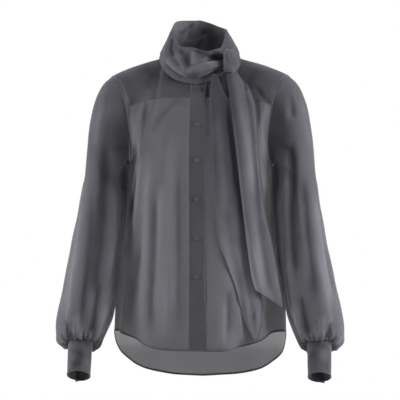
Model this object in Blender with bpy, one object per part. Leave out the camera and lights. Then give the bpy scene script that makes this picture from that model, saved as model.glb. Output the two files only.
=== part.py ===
"""A sheer long-sleeved blouse with a scarf collar tied in a knot, standing open as it is worn.

The front faces -Y, the wearer's left is +X, and +Z is up. The origin lies between the two points
where the shoulder seams meet the neck. Sizes are in millimetres until a mesh is made.
"""

import math

import bpy
import numpy as np

# Cloth and seams
CLOTH = 1.2
BAND_CLOTH = 1.4
TIE_CLOTH = 1.6
SEAM_GAP = 0.3

# Neck, shoulders and armholes
NECK_HALF_WIDTH = 74.0
NECK_FRONT = (0.0, -52.0, -52.0)
NECK_BACK = (0.0, 52.0, 6.0)
NECK_POINT = (NECK_HALF_WIDTH, 4.0, 0.0)
SHOULDER_POINT = (183.0, 8.0, -38.0)
SHOULDER_ARCH = 3.5
NECK_ANGLE = 42.0
UNDERARM_LEVEL = -215.0
LEVEL_LENGTH = 200.0

# Closing band and buttons
BAND_HALF_WIDTH = 16.6
BAND_STEP = 1.9
BAND_RAMP = 34.0
BUTTON_HEIGHTS = (-72.0, -144.5, -217.0, -294.0, -371.5, -449.0)
BUTTON_RADIUS = 5.2
BUTTON_THICKNESS = 2.2
BUTTON_GAP = 0.35

# Mesh densities
FRONT_COLUMNS = 12
SHOULDER_COLUMNS = 5
BACK_COLUMNS = (90, 98, 107, 114, 118.4, 120, 124, 131, 141, 151, 161, 171, 180)
SIDE_ROWS = 10
ARMHOLE_FRONT, ARMHOLE_BACK, ARMHOLE_YOKE = 13, 10, 7
COLLAR_COLUMNS = 32

# Body sections: height, half width, depth in front, depth behind, and how far back the sides lie
BODY = {
    "height": (-700, -640, -596, -560, -520, -470, -420, -370, -320, -270, -240, -215),
    "half_width": (178, 178, 178, 178, 177, 173.5, 168, 163, 159, 155.5, 151.5, 148),
    "front": (138, 135, 132, 130, 128, 126, 124, 123, 124, 126, 126, 123),
    "back": (132, 128, 124, 121, 118, 113, 108, 103, 100, 98, 98, 98),
    "side_behind": (0, 0, 0, 8, 16, 24, 28, 29, 27, 21, 11, 0),
}
SQUARENESS = 2.3

# Armhole drawn on the body's skin: angle from the centre front, and level below the shoulder
ARMHOLE = {
    "angle": (90, 86.5, 84, 82, 80.5, 79, 78, 80, 90, 100, 102.5, 102, 100.5, 98.5, 96, 93.5),
    "level": (0, 0.12, 0.26, 0.42, 0.58, 0.74, 0.87, 0.98, 1.03, 0.98, 0.87, 0.74, 0.58, 0.42, 0.26, 0.12),
}

# Seams of the yoke, and the hems
YOKE_FRONT_DROP = 16.0
YOKE_BACK = {"angle": (90, 100, 115, 130, 150, 180), "height": (-104, -99, -89, -84, -80, -78)}
FRONT_HEM = {
    "angle": (0, 12, 22, 33, 41, 51, 62, 76, 90),
    "height": (-598, -597.5, -595, -587, -579, -569, -564, -565, -570),
}
BACK_HEM = {
    "angle": (90, 96, 103, 112, 122, 132, 145, 160, 180),
    "height": (-570, -586, -604, -621, -636, -647, -659, -668, -673),
}

# Soft folds of the body: angle at the top and at the hem, level where each starts, depth, half width in degrees
BODY_FOLDS = {
    "top_angle": (-13, -28, -38, -50, -66, 12, 28, 40, 55, 70, 152, 132, -152, -132, 172, -172),
    "hem_angle": (-10, -26, -42, -55, -70, 14, 27, 42, 58, 70, 148, 124, -146, -120, 168, -165),
    "starts": (1.3, 1.0, 1.1, 1.3, 1.6, 1.4, 1.3, 1.2, 1.4, 1.6, 0.6, 1.0, 0.6, 1.0, 0.9, 1.1),
    "depth": (-5, 9, -6, 7, -5, 9, -11, 8, -6, 4, 8, -6, 7, -6, 6, -5),
    "width": (9, 8, 6, 7, 8, 8, 7, 8, 7, 7, 9, 9, 9, 9, 10, 10),
}
# Hollows and ridges under the arms: angle at the underarm, its change a level down, depth, half
# width, and the levels where each has risen, starts to fade and has gone
SIDE_FOLDS = {
    "angle": (-68, -50, 73, 57),
    "turn": (-9, -16, 3, 4),
    "depth": (-13, 5, -8, 3),
    "width": (9, 7, 8, 8),
    "full": (1.0, 1.0, 1.35, 1.35),
    "fades": (1.35, 1.3, 1.9, 1.8),
    "gone": (2.0, 2.0, 2.6, 2.6),
}
BACK_PLEAT_ANGLE = 120.0
BACK_PLEAT_DEPTH = 3.0

# Sleeve rings: height, outer and inner side, middle and half depth front to back, and the slope of
# the ring's plane, which is higher in front near the wrist
SLEEVE = {
    "height": (-246, -266, -300, -340, -380, -420, -460, -500, -530, -552, -570, -583, -591, -589),
    "outer": (238.5, 241.8, 247.3, 254.6, 261.3, 268.2, 275.5, 282.5, 288.2, 291.6, 291.8, 289.2, 281, 272),
    "inner": (153.2, 153.2, 154, 156, 158.3, 162, 166.2, 171.5, 177.2, 185.0, 192.5, 199.5, 206, 213),
    "middle": (-6, -12, -20, -25, -28, -32, -37, -43, -50, -57, -62, -66, -69, -70),
    "half_depth": (67, 69.5, 73, 76, 79, 82, 84, 83, 78, 71, 62, 53, 45, 40.5),
    "slope": (0, 0, 0, 0, 0, 0.03, 0.08, 0.16, 0.25, 0.32, 0.37, 0.40, 0.41, 0.41),
}
HEAD_ROWS = 5
CAP_SPEED = 0.72
WRIST_SWAY = 2.5
GATHERS = 7
GATHER_DEPTH = 2.2
CUFF_TOP = (242.5, -71.4, -583.5)
CUFF_BOTTOM = (242.5, -99.5, -650.5)
CUFF_HALF_WIDTH = 24.8
CUFF_HALF_DEPTH = 36.0
CUFF_TAPER = 0.94
CUFF_OVERLAP = 24.0
CUFF_START = 271.0
CUFF_CORNER = 2.5
SLEEVE_FOLDS = {
    "angle": (18, 46, 70, 100, 132, 165, 205, 240, 275, 305, 335),
    "depth": (3.5, -4.0, 4.0, -4.5, 4.0, -3.0, -3.0, 4.0, -4.5, 4.0, -3.5),
    "width": (13, 11, 11, 12, 13, 14, 14, 13, 12, 12, 12),
}

# Collar: height and half sizes of its top edge, by the angle from the centre front
COLLAR_EDGE = {
    "angle": (-180, -150, -130, -110, -95, -82, -70, -58, -47, -37, -25, -12, 0, 13, 22, 31, 42, 55, 62, 70, 78, 88, 100, 120, 137, 156, 180),
    "height": (81, 80, 78.5, 74, 67, 57, 45, 33, 21, 16, 15, 14, 11, 7, 6, 9, 12, 17, 22, 36, 49, 56, 58, 62.5, 67, 74, 81),
    "radius_x": (54, 54, 54, 54, 54.5, 54.5, 54, 53.5, 53, 53, 53, 53, 53, 54, 54, 54, 55, 55, 55, 55, 55.5, 56, 55, 54.5, 54, 54, 54),
    "radius_y": (52, 52, 52, 52, 52, 53, 55, 58, 60, 62, 63, 63, 63, 63, 62, 61, 59, 56, 54, 52, 52, 52, 52, 52, 52, 52, 52),
}
COLLAR_CENTRE = (-1.0, -2.0)
COLLAR_DROOP = {
    "angle": (-180, -115, -92, -75, -55, -35, -15, 0, 12, 24, 60, 180),
    "drop": (4.5, 4.5, 6, 11, 15, 14.5, 11, 8.5, 5.5, 4.5, 4.5, 4.5),
}
COLLAR_BULGE = {
    "angle": (-180, -120, -90, -60, -30, 0, 30, 60, 90, 130, 180),
    "size": (3, 2, 0, 5, 10, 12, 10, 5, 2, 2, 3),
}
COLLAR_LIE = 0.8
COLLAR_POINT_LIFT = 1.7
FOLD_LIFT = 4.6

# Knot, by height: its sides and its front and back
KNOT = {
    "height": (12.5, 9.5, 3, -5, -13, -21, -28, -32.5, -34.5),
    "left": (59, 54, 51, 50, 49.5, 49, 50, 53, 57),
    "right": (70, 76, 81, 84, 85.5, 85, 82, 78.5, 75),
    "front": (-63, -69, -73.5, -75.5, -76, -75.5, -73.5, -70, -66),
    "back": (-56, -52, -49, -47.5, -47, -47, -48, -50.5, -54),
}
# The two ends of the tie: height, sides, distance from the body, and how far forward each stays
TAIL_UPPER = {
    "height": (-35.2, -58, -85, -136, -196, -277, -327, -377, -418, -468, -476, -514),
    "left": (57, 60, 64, 70.5, 78, 87, 92.5, 98.8, 104, 114, 117, 120),
    "right": (78, 96, 110, 119, 123, 131, 137, 149, 157, 165.5, 167, 173),
    "clearance": (11, 11, 11, 11, 11, 11, 11, 11.5, 12, 12.5, 12.5, 12.5),
    "front": (-60, -68, -80, -96, -102, -104, -105, -106, -107, -108, -108, -108),
}
TAIL_UPPER_END = -476.0
TAIL_UPPER_SLANT = 37.5
TAIL_LOWER = {
    "height": (-41, -58, -75, -95, -136, -176, -257, -337, -377, -401, -437, -477, -517, -548, -576),
    "left": (29, 26, 25.5, 26, 28.5, 31, 33.5, 37.5, 42.5, 51.5, 65.5, 79.5, 88.5, 99, 114),
    "right": (37, 43, 51, 62, 75, 85, 100, 112, 117, 119.5, 123, 127, 129.5, 127, 120),
    "clearance": (3.5, 3.5, 3.5, 3.5, 3.4, 3.4, 3.4, 3.4, 3.4, 3.4, 3.4, 3.4, 3.4, 3.4, 3.4),
    "front": (-66, -70, -76, -84, -92, -94, -94, -94, -95, -96, -97, -98, -98, -98, -98),
}
TAIL_LOWER_END = -576.0
TAIL_LOWER_SLANT = 0.0
TAIL_FOLDS_UPPER = {
    "place": (0.08, 0.32, 0.68, 0.92),
    "depth": (-2.0, 2.5, -2.2, 1.6),
    "width": (0.1, 0.15, 0.13, 0.1),
}
TAIL_FOLDS_LOWER = {"place": (0.2, 0.5, 0.8), "depth": (1.0, -0.8, 0.8), "width": (0.15, 0.12, 0.12)}
TAIL_COLUMNS = 10
TAIL_ROWS = 19

FABRIC_GREY = (0.075, 0.073, 0.079)
BUTTON_GREY = (0.045, 0.044, 0.050)


def along(table, column, at):
    """The named column of a table at any place between its stations, on one smooth curve."""
    places = np.asarray(table[next(iter(table))], float)
    values = np.asarray(table[column], float)
    if places[0] > places[-1]:
        places, values = places[::-1], values[::-1]
    slopes = np.gradient(values, places)
    at = np.clip(np.asarray(at, float), places[0], places[-1])
    left = np.clip(np.searchsorted(places, at, side="right") - 1, 0, len(places) - 2)
    span = places[left + 1] - places[left]
    part = (at - places[left]) / span
    return (
        (1 + 2 * part) * (1 - part) ** 2 * values[left]
        + part * (1 - part) ** 2 * span * slopes[left]
        + part**2 * (3 - 2 * part) * values[left + 1]
        + part**2 * (part - 1) * span * slopes[left + 1]
    )


def ease(value, low, high):
    """0 below low, 1 above high, and a smooth rise between them."""
    part = np.clip((np.asarray(value, float) - low) / (high - low), 0, 1)
    return part * part * (3 - 2 * part)


def unit(vectors):
    return vectors / np.maximum(np.linalg.norm(vectors, axis=-1, keepdims=True), 1e-9)


def ring(angle, height):
    """A point of the body below the arms, at an angle from the centre front."""
    turn = np.radians(angle)
    side, ahead = np.sin(turn), np.cos(turn)
    power = 2 / SQUARENESS
    depth = np.where(ahead > 0, along(BODY, "front", height), along(BODY, "back", height))
    x = along(BODY, "half_width", height) * np.sign(side) * np.abs(side) ** power
    y = -depth * np.sign(ahead) * np.abs(ahead) ** power + along(BODY, "side_behind", height) * side**4
    return np.stack([x, y, np.broadcast_to(height, x.shape).astype(float)], axis=-1)


def top_line(angle):
    """The neckline from the centre front or back, then the shoulder's ridge, for an angle of 0 to 180."""
    from_middle = np.where(angle <= 90, angle, 180 - angle)
    turn = np.radians(90) * np.clip(from_middle / NECK_ANGLE, 0, 1)
    outward = np.clip((from_middle - NECK_ANGLE) / (90 - NECK_ANGLE), 0, 1)
    middle = np.where((angle <= 90)[..., None], np.array(NECK_FRONT), np.array(NECK_BACK))
    x = NECK_HALF_WIDTH * np.sin(turn)
    y = NECK_POINT[1] + (middle[..., 1] - NECK_POINT[1]) * np.cos(turn)
    z = middle[..., 2] * np.cos(turn) ** 1.5
    ridge = np.array(SHOULDER_POINT) - np.array(NECK_POINT)
    x = x + ridge[0] * outward
    y = y + ridge[1] * outward
    z = z + ridge[2] * outward + SHOULDER_ARCH * np.sin(np.pi * outward**1.3)
    return np.stack([x, y, z], axis=-1)


def top_slope(angle):
    """The direction and speed with which the body leaves its top line."""
    from_middle = np.where(angle <= 90, angle, 180 - angle)
    outward = ease(from_middle, 12, NECK_ANGLE + 28)
    forward = np.where(angle <= 90, -1.0, 1.0)
    speed = 200 + 140 * ease(from_middle, NECK_ANGLE, 80)
    lean = np.where(angle <= 90, 0.62, 0.45) * (1 - outward) + 0.98 * outward
    fall = np.sqrt(1 - lean**2) * (1 - outward) + 0.1 * outward
    return np.stack([0 * lean, forward * lean * speed, -fall * speed], axis=-1)


def soft_folds(angle, level):
    """How far the body's skin is moved out by its soft folds."""
    total = np.zeros(np.broadcast(angle, level).shape)
    for top, hem, start, depth, width in zip(*BODY_FOLDS.values()):
        middle = top + (hem - top) * np.clip((level - 1) / 2, 0, 1)
        total = total + depth * np.exp(-(((angle - middle) / width) ** 2)) * ease(level, start, 3.0)
    for start, turn, depth, width, full, fades, gone in zip(*SIDE_FOLDS.values()):
        middle = start + turn * (level - 1)
        shown = ease(level, full - 0.3, full) * (1 - ease(level, fades, gone))
        total = total + depth * np.exp(-(((angle - middle) / width) ** 2)) * shown
    return total


def skin(angle, level, outward=0.0):
    """A point of the body's outer surface. Level 0 is the top line, 1 the underarm, and each whole
    level below that is LEVEL_LENGTH. The angle is negative on the wearer's right."""
    angle, level = np.broadcast_arrays(np.asarray(angle, float), np.asarray(level, float))
    side = np.where(angle < 0, -1.0, 1.0)
    turn = np.abs(angle)
    part = np.clip(level, 0, 1)[..., None]
    top, low = top_line(turn), ring(turn, np.full(turn.shape, UNDERARM_LEVEL))
    step = 2.0
    fall = (ring(turn, np.full(turn.shape, UNDERARM_LEVEL - step)) - low) / step * LEVEL_LENGTH
    upper = (
        (1 + 2 * part) * (1 - part) ** 2 * top
        + part * (1 - part) ** 2 * top_slope(turn)
        + part**2 * (3 - 2 * part) * low
        + part**2 * (part - 1) * fall
    )
    lower = ring(turn, UNDERARM_LEVEL - np.clip(level - 1, 0, None) * LEVEL_LENGTH)
    points = np.where((level <= 1)[..., None], upper, lower)
    flat = np.stack([points[..., 0] * side, points[..., 1], points[..., 2]], axis=-1)
    moved = soft_folds(angle, level) + pleats(turn, level) + outward
    away = np.stack([np.sin(np.radians(turn)) * side, -np.cos(np.radians(turn)), 0 * turn], axis=-1)
    return flat + away * moved[..., None]


def pleats(turn, level):
    """Two knife pleats in the back, pressed under the yoke and open below."""
    past = turn - BACK_PLEAT_ANGLE
    across = np.where(past > 0, np.exp(-((past / 5.5) ** 2)), np.exp(-((past / 1.2) ** 2)))
    return BACK_PLEAT_DEPTH * ease(level, 0.41, 0.48) * (1 - ease(level, 0.7, 1.8)) * across


def skin_normal(angle, level):
    """The outward direction of the body's skin, measured on its plain form."""
    turn, drop = 0.4, 0.01
    across = skin(angle + turn, level) - skin(angle - turn, level)
    down = skin(angle, level + drop) - skin(angle, np.maximum(level - drop, 0))
    return unit(np.cross(down, across))


def level_of(height):
    return 1 + (UNDERARM_LEVEL - np.asarray(height, float)) / LEVEL_LENGTH


def angle_at(x, level):
    """The angle at which the skin is x from the middle, at each level."""
    low, high = np.zeros(np.shape(level)), np.full(np.shape(level), 60.0)
    for _ in range(30):
        middle = (low + high) / 2
        wide = skin(middle, level)[..., 0] > x
        low, high = np.where(wide, low, middle), np.where(wide, middle, high)
    return (low + high) / 2


def level_at(angle, height):
    """The level at which the skin has a height, at each angle."""
    low, high = np.zeros(np.shape(angle)), np.ones(np.shape(angle))
    for _ in range(30):
        middle = (low + high) / 2
        below = skin(angle, middle)[..., 2] < height
        low, high = np.where(below, low, middle), np.where(below, middle, high)
    return (low + high) / 2


def yoke_seam(turn):
    """Level of the yoke's seam across the back."""
    return level_at(turn, along(YOKE_BACK, "height", turn))


def on_front(x, height):
    """Angle and level of the skin's point at x and a height on the front, by Newton's method."""
    x, height = np.broadcast_arrays(np.asarray(x, float), np.asarray(height, float))
    angle = np.degrees(np.arcsin(np.clip(x / 160, -0.95, 0.95)))
    level = np.clip(level_of(height), 0.05, None)
    for _ in range(12):
        here = skin(angle, level)
        by_angle = (skin(angle + 0.1, level) - here) / 0.1
        by_level = (skin(angle, level + 0.001) - here) / 0.001
        off_x, off_z = x - here[..., 0], height - here[..., 2]
        size = by_angle[..., 0] * by_level[..., 2] - by_angle[..., 2] * by_level[..., 0]
        size = np.where(np.abs(size) < 1e-6, 1e-6, size)
        angle = angle + np.clip((off_x * by_level[..., 2] - off_z * by_level[..., 0]) / size, -8, 8)
        level = level + np.clip((by_angle[..., 0] * off_z - by_angle[..., 2] * off_x) / size, -0.3, 0.3)
        angle, level = np.clip(angle, -88, 88), np.clip(level, 0.0, 3.3)
    return angle, level


def armhole_stations():
    """Angles and levels of the armhole's points on the wearer's left, from the yoke's front seam
    down the front, under the arm, up the back and over the shoulder, evenly spaced between seams."""
    count = len(ARMHOLE["angle"])
    closed = {"place": tuple(range(-3, count + 4))}
    for name in ("angle", "level"):
        closed[name] = tuple(ARMHOLE[name][index % count] for index in closed["place"])
    fine = np.linspace(0, count, 1601)
    angle, level = along(closed, "angle", fine), np.clip(along(closed, "level", fine), 0, None)
    points = skin(angle, level)
    walked = np.concatenate([[0], np.cumsum(np.linalg.norm(np.diff(points, axis=0), axis=1))])
    under = walked[np.argmax(level)]
    half = len(fine) // 2
    front_seam = walked[:half][np.argmin(np.abs(walked[:half] - YOKE_FRONT_DROP))]
    behind = np.arange(len(fine)) > np.argmax(level)
    seam_height = along(YOKE_BACK, "height", angle)
    back_seam = walked[behind][np.argmin(np.abs(points[:, 2] - seam_height)[behind])]
    stops = [
        np.linspace(front_seam, under, ARMHOLE_FRONT + 1)[:-1],
        np.linspace(under, back_seam, ARMHOLE_BACK + 1)[:-1],
        np.linspace(back_seam, walked[-1] + front_seam, ARMHOLE_YOKE + 1)[:-1],
    ]
    places = np.concatenate(stops) % walked[-1]
    return np.interp(places, walked, angle), np.interp(places, walked, level)


def new_material(name, colour, roughness):
    material = bpy.data.materials.new(name)
    material.use_nodes = True
    shader = material.node_tree.nodes["Principled BSDF"]
    shader.inputs["Base Color"].default_value = (*colour, 1.0)
    shader.inputs["Roughness"].default_value = roughness
    shader.inputs["Metallic"].default_value = 0.0
    material.diffuse_color = (*colour, 1.0)
    return material


def add_mesh(name, points, faces, material):
    """Makes the object, with its faces turned outward. Points are in millimetres."""
    points = np.asarray(points, float).reshape(-1, 3) / 1000
    first = points[[face[0] for face in faces]]
    volume = 0.0
    for face, corner in zip(faces, first):
        for second, third in zip(face[1:-1], face[2:]):
            volume += np.dot(corner, np.cross(points[second], points[third]))
    if volume < 0:
        faces = [face[::-1] for face in faces]
    mesh = bpy.data.meshes.new(name)
    mesh.from_pydata(points.tolist(), [], faces)
    mesh.materials.append(material)
    mesh.shade_smooth()
    thing = bpy.data.objects.new(name, mesh)
    bpy.context.scene.collection.objects.link(thing)
    return thing


def wall(name, outer, inner, closed, material):
    """One closed body between two grids of points, rows by columns. A closed grid runs round a tube."""
    rows, columns = outer.shape[:2]
    inside = rows * columns
    spans = columns if closed else columns - 1
    faces = []
    for row in range(rows - 1):
        for column in range(spans):
            after = (column + 1) % columns
            a, b = row * columns + column, row * columns + after
            c, d = b + columns, a + columns
            faces += [(a, b, c), (a, c, d)]
            faces += [(inside + c, inside + b, inside + a), (inside + d, inside + c, inside + a)]
    for column in range(spans):
        after = (column + 1) % columns
        last = (rows - 1) * columns
        faces.append((column, inside + column, inside + after, after))
        faces.append((last + after, inside + last + after, inside + last + column, last + column))
    if not closed:
        for row in range(rows - 1):
            a, b = row * columns, (row + 1) * columns
            c, d = a + columns - 1, b + columns - 1
            faces.append((b, inside + b, inside + a, a))
            faces.append((c, inside + c, inside + d, d))
    return add_mesh(name, np.concatenate([outer.reshape(-1, 3), inner.reshape(-1, 3)]), faces, material)


def grid_normals(points, closed):
    """Unit normals of a grid of points, rows by columns."""
    if closed:
        across = np.roll(points, -1, axis=1) - np.roll(points, 1, axis=1)
    else:
        across = np.gradient(points, axis=1)
    return unit(np.cross(np.gradient(points, axis=0), across))


def across_row(first, neck, last):
    """Angles of a row, from the armhole to the neck's point and on to the middle."""
    outer = np.linspace(first, neck, SHOULDER_COLUMNS + 1)
    inner = np.linspace(neck, last, FRONT_COLUMNS - SHOULDER_COLUMNS + 1)
    return np.concatenate([outer, inner[1:]])


def down_share(side_level, share, inward):
    """How far down each point of a row is, from the armhole's own stations to even ones inside."""
    at_side = (side_level - side_level[0]) / (side_level[-1] - side_level[0])
    return at_side[:, None] + (share - at_side)[:, None] * inward


def front_grid():
    """Angle and level of the left front's points, from the armhole and side seam to the closing band."""
    hole_angle, hole_level = armhole_stations()
    side_angle = hole_angle[: ARMHOLE_FRONT + 1].copy()
    side_level = hole_level[: ARMHOLE_FRONT + 1].copy()
    side_angle[-1] -= math.degrees(SEAM_GAP / 2 / along(BODY, "half_width", UNDERARM_LEVEL))
    share = np.linspace(0, 1, ARMHOLE_FRONT + 1)
    even = np.linspace(0, 1, FRONT_COLUMNS + 1)
    middle = 0.012 + 1.01 * share
    edge = angle_at(BAND_HALF_WIDTH + SEAM_GAP, middle)
    angle = []
    for row, part in enumerate(share):
        at_top = across_row(side_angle[row], NECK_ANGLE, edge[row])
        plain = side_angle[row] + (edge[row] - side_angle[row]) * even
        angle.append(plain + (at_top - plain) * (1 - part) ** 1.5)
    angle = np.array(angle)
    top = shoulder_level(angle[0])
    low = side_level[-1] + (middle[-1] - side_level[-1]) * even
    inward = ease(even, 0, 0.5)[None, :]
    level = top + (low - top) * down_share(side_level, share, inward)
    level[:, 0] = side_level
    hem = level_of(along(FRONT_HEM, "height", angle[-1]))
    angles, levels = [angle], [level]
    for row in range(1, SIDE_ROWS + 1):
        lower = level[-1] + (hem - level[-1]) * row / SIDE_ROWS
        edge = angle_at(BAND_HALF_WIDTH + SEAM_GAP, lower[-1:])[0]
        angles.append((side_angle[-1] + (edge - side_angle[-1]) * even)[None, :])
        levels.append(lower[None, :])
    return np.concatenate(angles), np.concatenate(levels)


def shoulder_level(angle):
    """Level of the yoke's front seam, which runs forward of the ridge and meets it at the neck."""
    turn = np.abs(angle)
    speed = 200 + 140 * ease(turn, NECK_ANGLE, 80)
    return 0.004 + YOKE_FRONT_DROP / speed * ease(turn, NECK_ANGLE, NECK_ANGLE + 20)


def build_front(name, side, material):
    angle, level = front_grid()
    angle = side * angle
    near_band = 1 - ease(np.abs(skin(angle, level)[..., 0]), BAND_HALF_WIDTH, BAND_HALF_WIDTH + BAND_RAMP)
    lowered = -BAND_STEP * near_band if side > 0 else 0 * near_band
    return panel(name, angle, level, CLOTH, material, lowered)


def panel(name, angle, level, thickness, material, outward=0.0):
    """A piece of cloth on the body's skin, with its thickness inside."""
    outer = skin(angle, level, outward)
    plain = skin_normal(angle, level)
    normal = grid_normals(outer, False)
    normal = normal if (normal * plain).sum() > 0 else -normal
    for border in (np.s_[0, :], np.s_[-1, :], np.s_[:, 0], np.s_[:, -1]):
        normal[border] = plain[border]
    wall(name, outer, outer - thickness * normal, False, material)
    return outer


def build_band(name, outward, half_width, material):
    """A straight band down the centre front, on the same levels as the fronts."""
    _, level = front_grid()
    level = level[:, -1]
    across = np.linspace(-1, 1, 5)
    edge = angle_at(half_width, level)
    angle = edge[:, None] * across[None, :]
    levels = np.repeat(level[:, None], len(across), axis=1)
    return panel(name, angle, levels, BAND_CLOTH, material, outward)


def both_sides(turn):
    """Angles of one side of the back and, from the middle on, the other side's as negative ones."""
    return np.concatenate([turn[..., :-1], -turn[..., ::-1]], axis=-1)


def twice(values):
    return np.concatenate([values[..., :-1], values[..., ::-1]], axis=-1)


def build_back(material):
    hole_angle, hole_level = armhole_stations()
    side_angle = hole_angle[ARMHOLE_FRONT : ARMHOLE_FRONT + ARMHOLE_BACK + 1][::-1].copy()
    side_level = hole_level[ARMHOLE_FRONT : ARMHOLE_FRONT + ARMHOLE_BACK + 1][::-1].copy()
    side_angle[-1] += math.degrees(SEAM_GAP / 2 / along(BODY, "half_width", UNDERARM_LEVEL))
    plain = np.array(BACK_COLUMNS, float)
    inward = ease(plain, 90, 135)[None, :]
    turn = plain + (side_angle[:, None] - 90) * (1 - ease(plain, 90, 112))[None, :]
    share = np.linspace(0, 1, ARMHOLE_BACK + 1)
    top = yoke_seam(turn[0]) + SEAM_GAP / LEVEL_LENGTH
    top = np.where(np.arange(len(top)) == 0, side_level[0], top)
    low = side_level[-1] + (1.03 - side_level[-1]) * ease(plain, 90, 180)
    level = top + (low - top) * down_share(side_level, share, inward)
    hem = level_of(along(BACK_HEM, "height", turn[-1]))
    turns, levels = [turn], [level]
    for row in range(1, SIDE_ROWS + 1):
        levels.append((level[-1] + (hem - level[-1]) * row / SIDE_ROWS)[None, :])
        turns.append(turn[-1:])
    turn, level = np.concatenate(turns), np.concatenate(levels)
    panel("back", both_sides(turn), twice(level), CLOTH, material)


def build_yoke(material):
    """The yoke lies over the shoulders, from its seam across the back to a seam just in front of
    each shoulder's ridge. Rows run up the back, and over the ridge beyond the neck."""
    hole_angle, hole_level = armhole_stations()
    first = ARMHOLE_FRONT + ARMHOLE_BACK
    side_angle = np.append(hole_angle[first:], hole_angle[0])
    side_level = np.append(hole_level[first:], hole_level[0])
    walk = np.where(side_angle >= 90, side_level, -side_level)
    share = np.linspace(0, 1, ARMHOLE_YOKE + 1)
    plain = np.array(BACK_COLUMNS, float)
    seam = plain + (side_angle[0] - 90) * (1 - ease(plain, 90, 112))
    beyond = 90 + np.abs(side_angle - 90)
    over = np.array([across_row(angle, 180 - NECK_ANGLE, 180) for angle in beyond])
    turn = over + (seam - over) * (1 - share[:, None]) ** 1.5
    turn[:, 0] = beyond
    low = yoke_seam(turn[0])
    low[0] = walk[0]
    ahead = -shoulder_level(180 - turn[-1]) + SEAM_GAP / 280
    high = np.where(180 - turn[-1] < NECK_ANGLE - 0.1, 0.004, ahead)
    inward = ease(turn[0], turn[0][0], turn[0][0] + 26)[None, :]
    at = low + (high - low) * down_share(walk, share, inward)
    at[:, 0] = walk
    at[0, 0] -= SEAM_GAP / 280
    at[-1, 0] += SEAM_GAP / 280
    place = np.where(at >= 0, turn, 180 - turn)
    panel("yoke", both_sides(place), twice(np.abs(at)), CLOTH, material)


def sleeve_section(row, turn):
    """A ring of the sleeve, from its outer side round the front."""
    height, outer, inner, middle, half_depth, slope = (values[row] for values in SLEEVE.values())
    x = (outer + inner) / 2 + (outer - inner) / 2 * np.cos(turn)
    ahead = half_depth * np.sin(turn)
    return np.stack([x, middle - ahead, height + slope * ahead], axis=-1)


def sleeve_folds(turn, share):
    """Long folds down the sleeve, which end as gathers at the cuff."""
    degrees = np.degrees(turn) % 360
    total = np.zeros(degrees.shape)
    for middle, depth, width in zip(*SLEEVE_FOLDS.values()):
        off = (degrees - middle + 180) % 360 - 180
        total = total + depth * np.exp(-((off / width) ** 2))
    long_ones = total * ease(share, 0.25, 0.5) * (1 - ease(share, 0.78, 0.92))
    gathers = GATHER_DEPTH * np.cos(GATHERS * turn + 0.6)
    return long_ones + gathers * ease(share, 0.66, 0.8) * (1 - ease(share, 0.84, 0.93))


def sway(points, side):
    """Mirrors a sleeve or cuff to its side, and lets both wrists hang a little to the wearer's left."""
    moved = points * np.array([side, 1.0, 1.0])
    moved[..., 0] += WRIST_SWAY * ease(-points[..., 2], 400, 520)
    return moved


def cuff_ring(share, turn, outward=0.0):
    """A point of the cuff, from 0 at its top to 1 at its lower edge, on the wearer's left."""
    top, low = np.array(CUFF_TOP), np.array(CUFF_BOTTOM)
    axis = unit(low - top)
    across = np.array([1.0, 0.0, 0.0])
    ahead = np.array([0.0, axis[2], -axis[1]])
    size = 1 + (CUFF_TAPER - 1) * share
    centre = top + (low - top) * share
    wide = (CUFF_HALF_WIDTH * size + outward) * np.cos(turn)
    deep = (CUFF_HALF_DEPTH * size + outward) * np.sin(turn)
    return centre + wide[..., None] * across + deep[..., None] * ahead


def even_turns(edge):
    """Sleeve angles for the armhole's points, by their distance along it from the shoulder's ridge."""
    count = len(edge)
    steps = np.linalg.norm(np.roll(edge, -1, axis=0) - edge, axis=1)
    over = count - 2
    walked = np.concatenate([[0], np.cumsum(np.roll(steps, -over))])[:-1]
    return np.roll(walked / steps.sum() * 2 * np.pi, over)


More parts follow.
